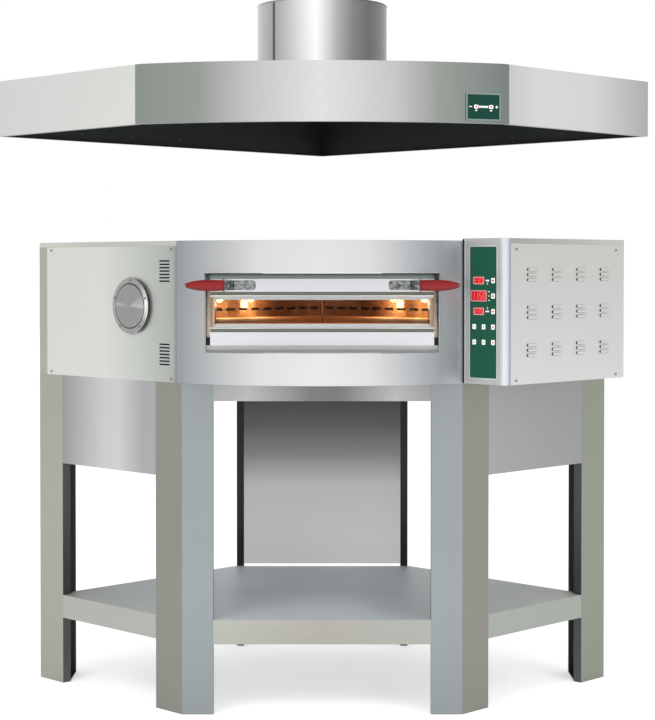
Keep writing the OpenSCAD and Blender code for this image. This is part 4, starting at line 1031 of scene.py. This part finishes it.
class OVEN_OT_controls(bpy.types.Operator):
    """Dresses the control box, its keypad, its displays and its keys"""
    bl_idname = "oven.controls"
    bl_label = "Controls"

    def execute(self, context):
        finish, controls = settings("oven_finish"), settings("oven_controls")
        self.box(finish)
        self.side(finish)
        self.keypad(controls)
        self.displays(controls)
        for i, kind in enumerate(("dot", "dot", "dot", "down", "up", "square", "bars", "bars", "square"), 1):
            place = key_cap(f"key_{i}", KEYPAD_OUT)
            mark = laid(symbol(kind, controls.symbol_size), print_red(), place)
            added(mark, f"key_{i}_symbol", f"key_{i}")
        dressed("control_board", coated("circuit_board", srgb(30, 84, 50), 300, 0.3))
        dressed("cable_gland", coated("gland_black", srgb(26, 27, 28), 300, 0.15), edge=0.0008)
        return {"FINISHED"}

    def box(self, finish):
        """Shell with its lap, the wrapped front, and the black strip between it and the bowed front, with
        painted sheen, highlights and shade: the strip and the shell's spacer are black as painted shade in the
        gap
        """
        fascia = corners("control_fascia")
        left, right = extent(fascia, BOX_OUT)
        near = extent(fascia, BACK_RIGHT)[0]
        # Painted sheen on the lap
        lap = brushed("lap_sheet", finish.lap_steel, GRAIN_X, roughness=0.35)
        lap.over("control_box_shell", BACK_RIGHT, [
            (0, (164, 165, 160)), (0.5, (178, 179, 174)), (1, (194, 195, 192))])
        lap_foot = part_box("control_side_panel")[1].z - 0.01
        # The spacer behind the gap is painted black as shade
        dressed("control_box_shell", brushed("box_wall", finish.wall_steel),
                (black_fleece_and_shade(), lambda at, normal: at.dot(BOX_OUT) < left + 0.001),
                (lap, lambda at, normal: normal.dot(BOX_OUT) > 0.7 and at.z > lap_foot))
        # Painted highlights on the front: a light rim at the left edge and a bright band at the rounded corner
        front = brushed("fascia_front", finish.fascia_steel, roughness=0.3)
        front.across(BOX_OUT, [(left, 232), (left + 0.008, 196), (right - 0.028, 188), (right - 0.012, 222),
                               (right - 0.006, 242), (right, 226)])
        # Painted sheen and shade on the side of the front
        edge = brushed("fascia_edge", finish.fascia_steel, roughness=0.25)
        edge.across(BACK_RIGHT, [(near, 226), (near + 0.006, (214, 218, 224)), (near + 0.013, (178, 190, 200)),
                                 (near + 0.019, (146, 154, 160)), (near + 0.0205, 150), (near + 0.0215, 214)])
        dressed("control_fascia", front, (edge, toward(BOX_OUT, 0.4)))
        matrix, width, height, _ = face_of(fascia, KEYPAD_OUT)
        # A black strip put in the gap beside the front as painted shade
        strip_w, strip_t, sunk, gap = 0.009, 0.003, 0.004, 0.0035
        strip = rounded_plate(strip_w, height - 0.002, strip_t, radius=0.001)
        added(laid(strip, black_fleece_and_shade(), matrix, x=-width / 2 - gap, z=-sunk), "box_gap_shade", "control_fascia")

    def side(self, finish):
        """Side sheet of the control box with its pressed louvres: four columns of three groups"""
        matrix, width, height, depth = face_of(corners("control_side_panel"), BOX_OUT)
        proud = matrix.to_translation().dot(BOX_OUT) - extent(corners("control_box_shell"), BOX_OUT)[1]
        # Painted shade: the sheet a little darker toward the top
        steel = brushed("box_sheet", finish.box_steel, roughness=0.4)
        steel.over("control_side_panel", UP, [(0, 209), (0.41, 204), (1, (196, 197, 192))])
        shade = brushed("louvre_shade", srgb(128, 128, 122))
        sheet = rounded_plate(width, height, depth - proud, radius=0.001, edge=0.0004, steps=2)
        pieces = [laid(sheet, steel, matrix, z=-depth)]
        for column in range(4):
            x = finish.louvre_x + column * finish.louvre_columns - width / 2
            for i in range(9):
                group, place = divmod(i, 3)
                y = finish.louvre_z + group * finish.louvre_groups + place * finish.louvre_pitch - height / 2
                # Painted shade on each louvre: grey on its underside, black at its left end
                bump = painted(self.louvre(finish, proud), steel, (shade, toward(FRONT, 0.6)),
                               (black_fleece_and_shade(), toward(-RIGHT, 0.6)))
                pieces.append(moved(bump, matrix, x, y, -proud - 0.0002))
        instead(joined(pieces), "control_side_panel")

    def louvre(self, finish, proud):
        """One pressed louvre: a long bump with round ends"""
        bump = rounded_plate(finish.louvre_l, finish.louvre_h, proud * 0.4, finish.louvre_h * 0.48, steps=5)
        edit(bump)
        pick(bump, lambda face: face.normal.z > 0.9 and face.center.z > proud * 0.3)
        bpy.ops.mesh.inset(thickness=0.0012, depth=proud * 0.3)
        bpy.ops.mesh.inset(thickness=0.0016, depth=proud * 0.2)
        end_edit()
        return smooth(bump, 50)

    def keypad(self, controls):
        """Printed sheet with round corners, a thin pale border and short bars beside the keys"""
        matrix, width, height, depth = face_of(corners("control_keypad"), KEYPAD_OUT)
        green = coated("keypad_sheet", controls.keypad_green, 900, 0.06, Specular_IOR_Level=0.2)
        sheet = rounded_plate(width, height, depth, radius=0.007, edge=0.0002)
        instead(laid(sheet, green, matrix, z=-depth), "control_keypad")
        bezel = brushed("bezel_steel", srgb(214, 217, 219), roughness=0.3)
        face = extent(corners("control_fascia"), KEYPAD_OUT)[1] - matrix.to_translation().dot(KEYPAD_OUT)
        border = 0.005
        ring = rounded_ring(width + border, height + border, thick=0.0005, radius=0.008, wall=0.0038)
        added(laid(ring, bezel, matrix, z=face), "keypad_bezel", "control_fascia")
        wide, tick, short = (0.013, 0.0038), (0.0045, 0.0016), (0.0055, 0.0022)
        left, nearer = 0.0215, 0.0155
        marks = []
        for key, bars in (("key_1", [(wide, left, 0), (tick, left, -0.0066), (tick, left, -0.0108)]),
                          ("key_3", [(wide, left, 0), (tick, left, 0.0066), (tick, left, 0.0108)]),
                          ("key_2", [(short, nearer, -0.0125), (short, nearer, 0), (short, nearer, 0.0125)])):
            at = matrix.inverted() @ face_of(corners(key), KEYPAD_OUT)[0].to_translation()
            for size, beside, above in bars:
                marks.append(moved(plain_mark(*size), matrix, at.x - beside, at.y + above))
        added(painted(joined(marks), print_white()), "keypad_marks", "control_keypad")

    def displays(self, controls):
        """Windows with a pale rim and lit digits"""
        red = coated("display_window", controls.display_red, 200, 0.1, roughness=0.2,
                     Emission_Color=(0.8, 0.01, 0.03, 1), Emission_Strength=0.42)
        rim = coated("display_rim", srgb(226, 150, 148), 200, 0.1, roughness=0.4)
        lit = coated("display_digit", controls.digit_red, 200, 0.1, roughness=0.4,
                     Emission_Color=(1, 0.12, 0.09, 1), Emission_Strength=0.55)
        border, glass_t, digit_w, digit_h = 0.005, 0.0002, 0.66, 0.72
        windows, digits = [], []
        places = sorted((face_of(points, KEYPAD_OUT) for points in islands("display_windows")),
                        key=lambda place: -place[0].to_translation().z)
        for shown, (matrix, width, height, depth) in zip(("230", "1150", "245"), places):
            frame_plate = rounded_plate(width, height, depth, radius=0.002, edge=0.0003)
            glass = rounded_plate(width - border, height - border, glass_t, radius=0.001)
            windows += [laid(frame_plate, rim, matrix, z=-depth), laid(glass, red, matrix)]
            step = (width - border - 0.001) / len(shown)
            for place, figure in enumerate(shown):
                digit = seven_segments(figure, step * digit_w, (height - border) * digit_h)
                digits.append(laid(digit, lit, matrix, (place - (len(shown) - 1) / 2) * step, z=glass_t))
        instead(joined(windows), "display_windows")
        added(joined(digits), "display_digits", "display_windows")


def plain_mark(width, height, radius=0.0004):
    return rounded_plate(width, height, settings("oven_controls").symbol_t, radius, steps=2)


def key_cap(node, out):
    """Cap with round corners in front of the key's flange; returns the matrix of its face"""
    matrix, _, _, depth = face_of(corners(node), out)
    front, near = matrix.to_translation().dot(out), 0.0001
    matrix, width, height, _ = face_of([point for point in corners(node) if point.dot(out) > front - near], out)
    cap = rounded_plate(width, height, depth, radius=0.0028, edge=0.0005, steps=4)
    instead(laid(cap, cap_white(), matrix, z=-depth), node)
    return matrix


def symbol(kind, size):
    """Plain generic symbol for a key"""
    thick = settings("oven_controls").symbol_t
    if kind == "bars":
        return joined([moved(plain_mark(size, size * 0.22), Matrix.Translation((0, size * 0.4 * i, 0)))
                       for i in (-1, 0, 1)])
    if kind == "square":
        return rounded_plate(size * 0.8, size * 0.8, thick, size * 0.1, steps=2)
    bpy.ops.mesh.primitive_circle_add(vertices=20 if kind == "dot" else 3, radius=size * 0.55, fill_type="NGON",
                                      rotation=(0, 0, math.pi if kind == "down" else 0))
    piece = bpy.context.object
    settle(piece)
    edit(piece)
    extrude(z=thick)
    turn_outwards()
    return piece


# Bars of a lit figure: place across and up as shares of half its size, and whether the bar lies
SEGMENTS = {"top": (0, 1, True), "middle": (0, 0, True), "bottom": (0, -1, True), "left_up": (-1, 0.5, False),
            "right_up": (1, 0.5, False), "left_low": (-1, -0.5, False), "right_low": (1, -0.5, False)}
FIGURES = {"0": "top bottom left_up right_up left_low right_low", "1": "right_up right_low",
           "2": "top middle bottom right_up left_low", "3": "top middle bottom right_up right_low",
           "4": "middle left_up right_up right_low", "5": "top middle bottom left_up right_low"}


def seven_segments(figure, width, height):
    """A lit figure of up to seven bars"""
    bar = 0.2 * width
    bars = []
    for name in FIGURES[figure].split():
        x, y, lying = SEGMENTS[name]
        size = (width - bar, bar) if lying else (bar, height / 2 - bar * 0.5)
        bars.append(moved(plain_mark(*size, bar * 0.45),
                          Matrix.Translation((x * (width - bar) / 2, y * (height - bar) / 2, 0))))
    return joined(bars)


class OVEN_OT_hood(bpy.types.Operator):
    """Dresses the hood, its duct collar, its plate and its fan"""
    bl_idname = "oven.hood"
    bl_label = "Hood"

    def execute(self, context):
        finish, controls = settings("oven_finish"), settings("oven_controls")
        self.sheets(finish)
        self.duct(finish)
        self.plate(finish, controls)
        # Rivets in a darker grey as painted shade inside the hood
        dressed("hood_rivets", brushed("rivet_steel", srgb(96, 100, 98)), edge=0)
        dark = brushed("fan_steel", srgb(96, 100, 100))
        dressed("fan_wheel", dark)
        dressed("fan_motor", dark)
        return {"FINISHED"}

    def sheets(self, finish):
        """Satin sheets with painted sheen, painted dark inside as shade, and a lower lip darker as painted
        shade
        """
        # Painted shade: the inner faces of the hood are dark, and the lower lip is darker
        inside = brushed("hood_inside", finish.hood_inside, metallic=0.3, roughness=0.6)
        lip = (brushed("hood_lip", srgb(120, 126, 122), GRAIN_X, metallic=0.5), toward(DOWN, 0.5))
        # Painted sheen and shade: bright over the middle of the bow, darker toward its ends
        front = brushed("hood_front", finish.hood_steel, roughness=0.3)
        front.over("hood_front_panel", RIGHT, [
            (0.02, (136, 142, 136)), (0.17, (146, 150, 145)), (0.31, 189), (0.5, 217), (0.69, 192),
            (0.81, (148, 152, 147)), (0.98, (120, 128, 124))])
        dressed("hood_front_panel", front, (inside, toward(BACK, 0.3)), lip)
        # Painted sheen and shade across the slanted sides
        side = brushed("hood_side", finish.hood_side, roughness=0.35)
        side.over("hood_side_panels", RIGHT, [
            (0, 209), (0.24, 217), (0.76, 197), (0.81, 213), (0.9, 210), (1, 172)])
        dressed("hood_side_panels", side,
                (inside, lambda at, normal: normal.y > 0.3 and normal.x * at.x < 0), lip)
        wall = brushed("hood_wall", finish.wall_steel, roughness=0.35)
        dressed("hood_wall_panels", wall, (inside, toward(FRONT, -0.3)))
        dressed("hood_roof", wall, (inside, toward(DOWN, 0.5)))

    def duct(self, finish):
        """Duct collar with its lock seam and a beaded rim"""
        # Painted reflection: a bright band left of the middle, and the right side painted dark
        duct = brushed("duct_steel", finish.duct_steel, roughness=0.22)
        duct.over("duct_collar", RIGHT, [
            (0.06, 196), (0.17, 164), (0.3, 206), (0.46, 254), (0.6, 176), (0.7, 134), (0.81, 110), (0.9, 124)])
        dressed("duct_collar", duct)
        low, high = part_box("duct_collar")
        middle = Vector(((low.x + high.x) / 2, (low.y + high.y) / 2, high.z))
        radius = max((point - middle).xy.length for point in corners("duct_collar") if point.z > high.z - 0.001)
        bead = finish.bead
        rim = turned([(radius - bead, -3 * bead), (radius, -3 * bead), (radius + bead, -2 * bead),
                      (radius + bead, -bead), (radius, 0), (radius - bead, 0), (radius - bead, -3 * bead)],
                     steps=128, close=False)
        added(laid(rim, duct, Matrix.Translation(middle)), "duct_rim_bead", "duct_collar")
        seam_w, seam_t, short, sunk = 0.009, 0.0016, 0.012, 0.0004
        seam = rounded_plate(seam_w, high.z - low.z - short, seam_t, radius=0.0005, edge=0.0005, steps=2)
        out = Matrix.Rotation(finish.seam_angle, 4, "Z") @ FRONT
        place = facing(out * radius + middle - UP * (high.z - low.z) / 2, out)
        added(laid(seam, brushed("seam_steel", srgb(96, 99, 95)), place, z=-sunk), "duct_seam", "duct_collar")

    def plate(self, finish, controls):
        """Small control plate: pale border, two keys with a bar of lamps between them, and plain signs"""
        out = Matrix.Rotation(finish.plate_angle, 4, "Z") @ FRONT
        matrix, width, height, depth = face_of(corners("hood_control_plate"), out)
        border = coated("plate_border", srgb(116, 132, 123), 500, 0.06, 0.3, 0.4)
        green = coated("plate_sheet", controls.plate_green, 900, 0.06, Specular_IOR_Level=0.2)
        border_w, sheet_t, sign_x, drop, lamps, pitch = 0.009, 0.0004, 0.0405, 0.0105, 6, 0.0048
        base = rounded_plate(width, height, depth, radius=0.004, edge=0.0005)
        base = laid(base, border, matrix, z=-depth)
        sheet = rounded_plate(width - border_w, height - border_w, sheet_t, radius=0.002, edge=0.0001)
        instead(joined([base, laid(sheet, green, matrix)]), "hood_control_plate")
        lying, standing = (0.008, 0.0024), (0.0024, 0.008)
        lamp, below_key = (0.0036, 0.0056), (0.007, 0.003, 0.0014)
        marks = []
        for name, x, bars in (("hood_key_minus", -sign_x, [lying]),
                              ("hood_key_plus", sign_x, [lying, standing])):
            key = key_cap(name, out)
            added(laid(symbol("dot", controls.dot_size), print_red(), key), name + "_symbol", name)
            at = matrix.inverted() @ key.to_translation()
            marks.append(moved(plain_mark(*below_key), matrix, at.x, at.y - drop, sheet_t))
            marks += [moved(plain_mark(*size), matrix, x, at.y, sheet_t) for size in bars]
        for i in range(lamps):
            marks.append(moved(plain_mark(*lamp), matrix, (i - (lamps - 1) / 2) * pitch, at.y, sheet_t))
        added(painted(joined(marks), print_white()), "hood_plate_marks", "hood_control_plate")


GROUPS = (("oven_finish", OvenFinish), ("oven_controls", OvenControls), ("oven_stage", OvenStage))
OPERATORS = (OVEN_OT_stage, OVEN_OT_stand, OVEN_OT_casing, OVEN_OT_chamber, OVEN_OT_door, OVEN_OT_controls,
             OVEN_OT_hood)


class OVEN_PT_panel(bpy.types.Panel):
    """Lists the steps of the finish and the values that they read"""
    bl_idname = "OVEN_PT_panel"
    bl_label = "Corner pizza oven"
    bl_space_type = "VIEW_3D"
    bl_region_type = "UI"
    bl_category = "Oven"

    def draw(self, context):
        for operator in OPERATORS:
            self.layout.operator(operator.bl_idname)
        for name, group in GROUPS:
            for value in group.__annotations__:
                self.layout.prop(getattr(context.scene, name), value)


def register():
    for name, group in GROUPS:
        bpy.utils.register_class(group)
        setattr(bpy.types.Scene, name, PointerProperty(type=group))
    for kind in (*OPERATORS, OVEN_PT_panel):
        bpy.utils.register_class(kind)


def unregister():
    for kind in (OVEN_PT_panel, *reversed(OPERATORS)):
        bpy.utils.unregister_class(kind)
    for name, group in reversed(GROUPS):
        delattr(bpy.types.Scene, name)
        bpy.utils.unregister_class(group)


def main():
    register()
    bpy.ops.oven.stage()
    bpy.ops.oven.stand()
    bpy.ops.oven.casing()
    bpy.ops.oven.chamber()
    bpy.ops.oven.door()
    bpy.ops.oven.controls()
    bpy.ops.oven.hood()


if __name__ == "__main__":
    main()
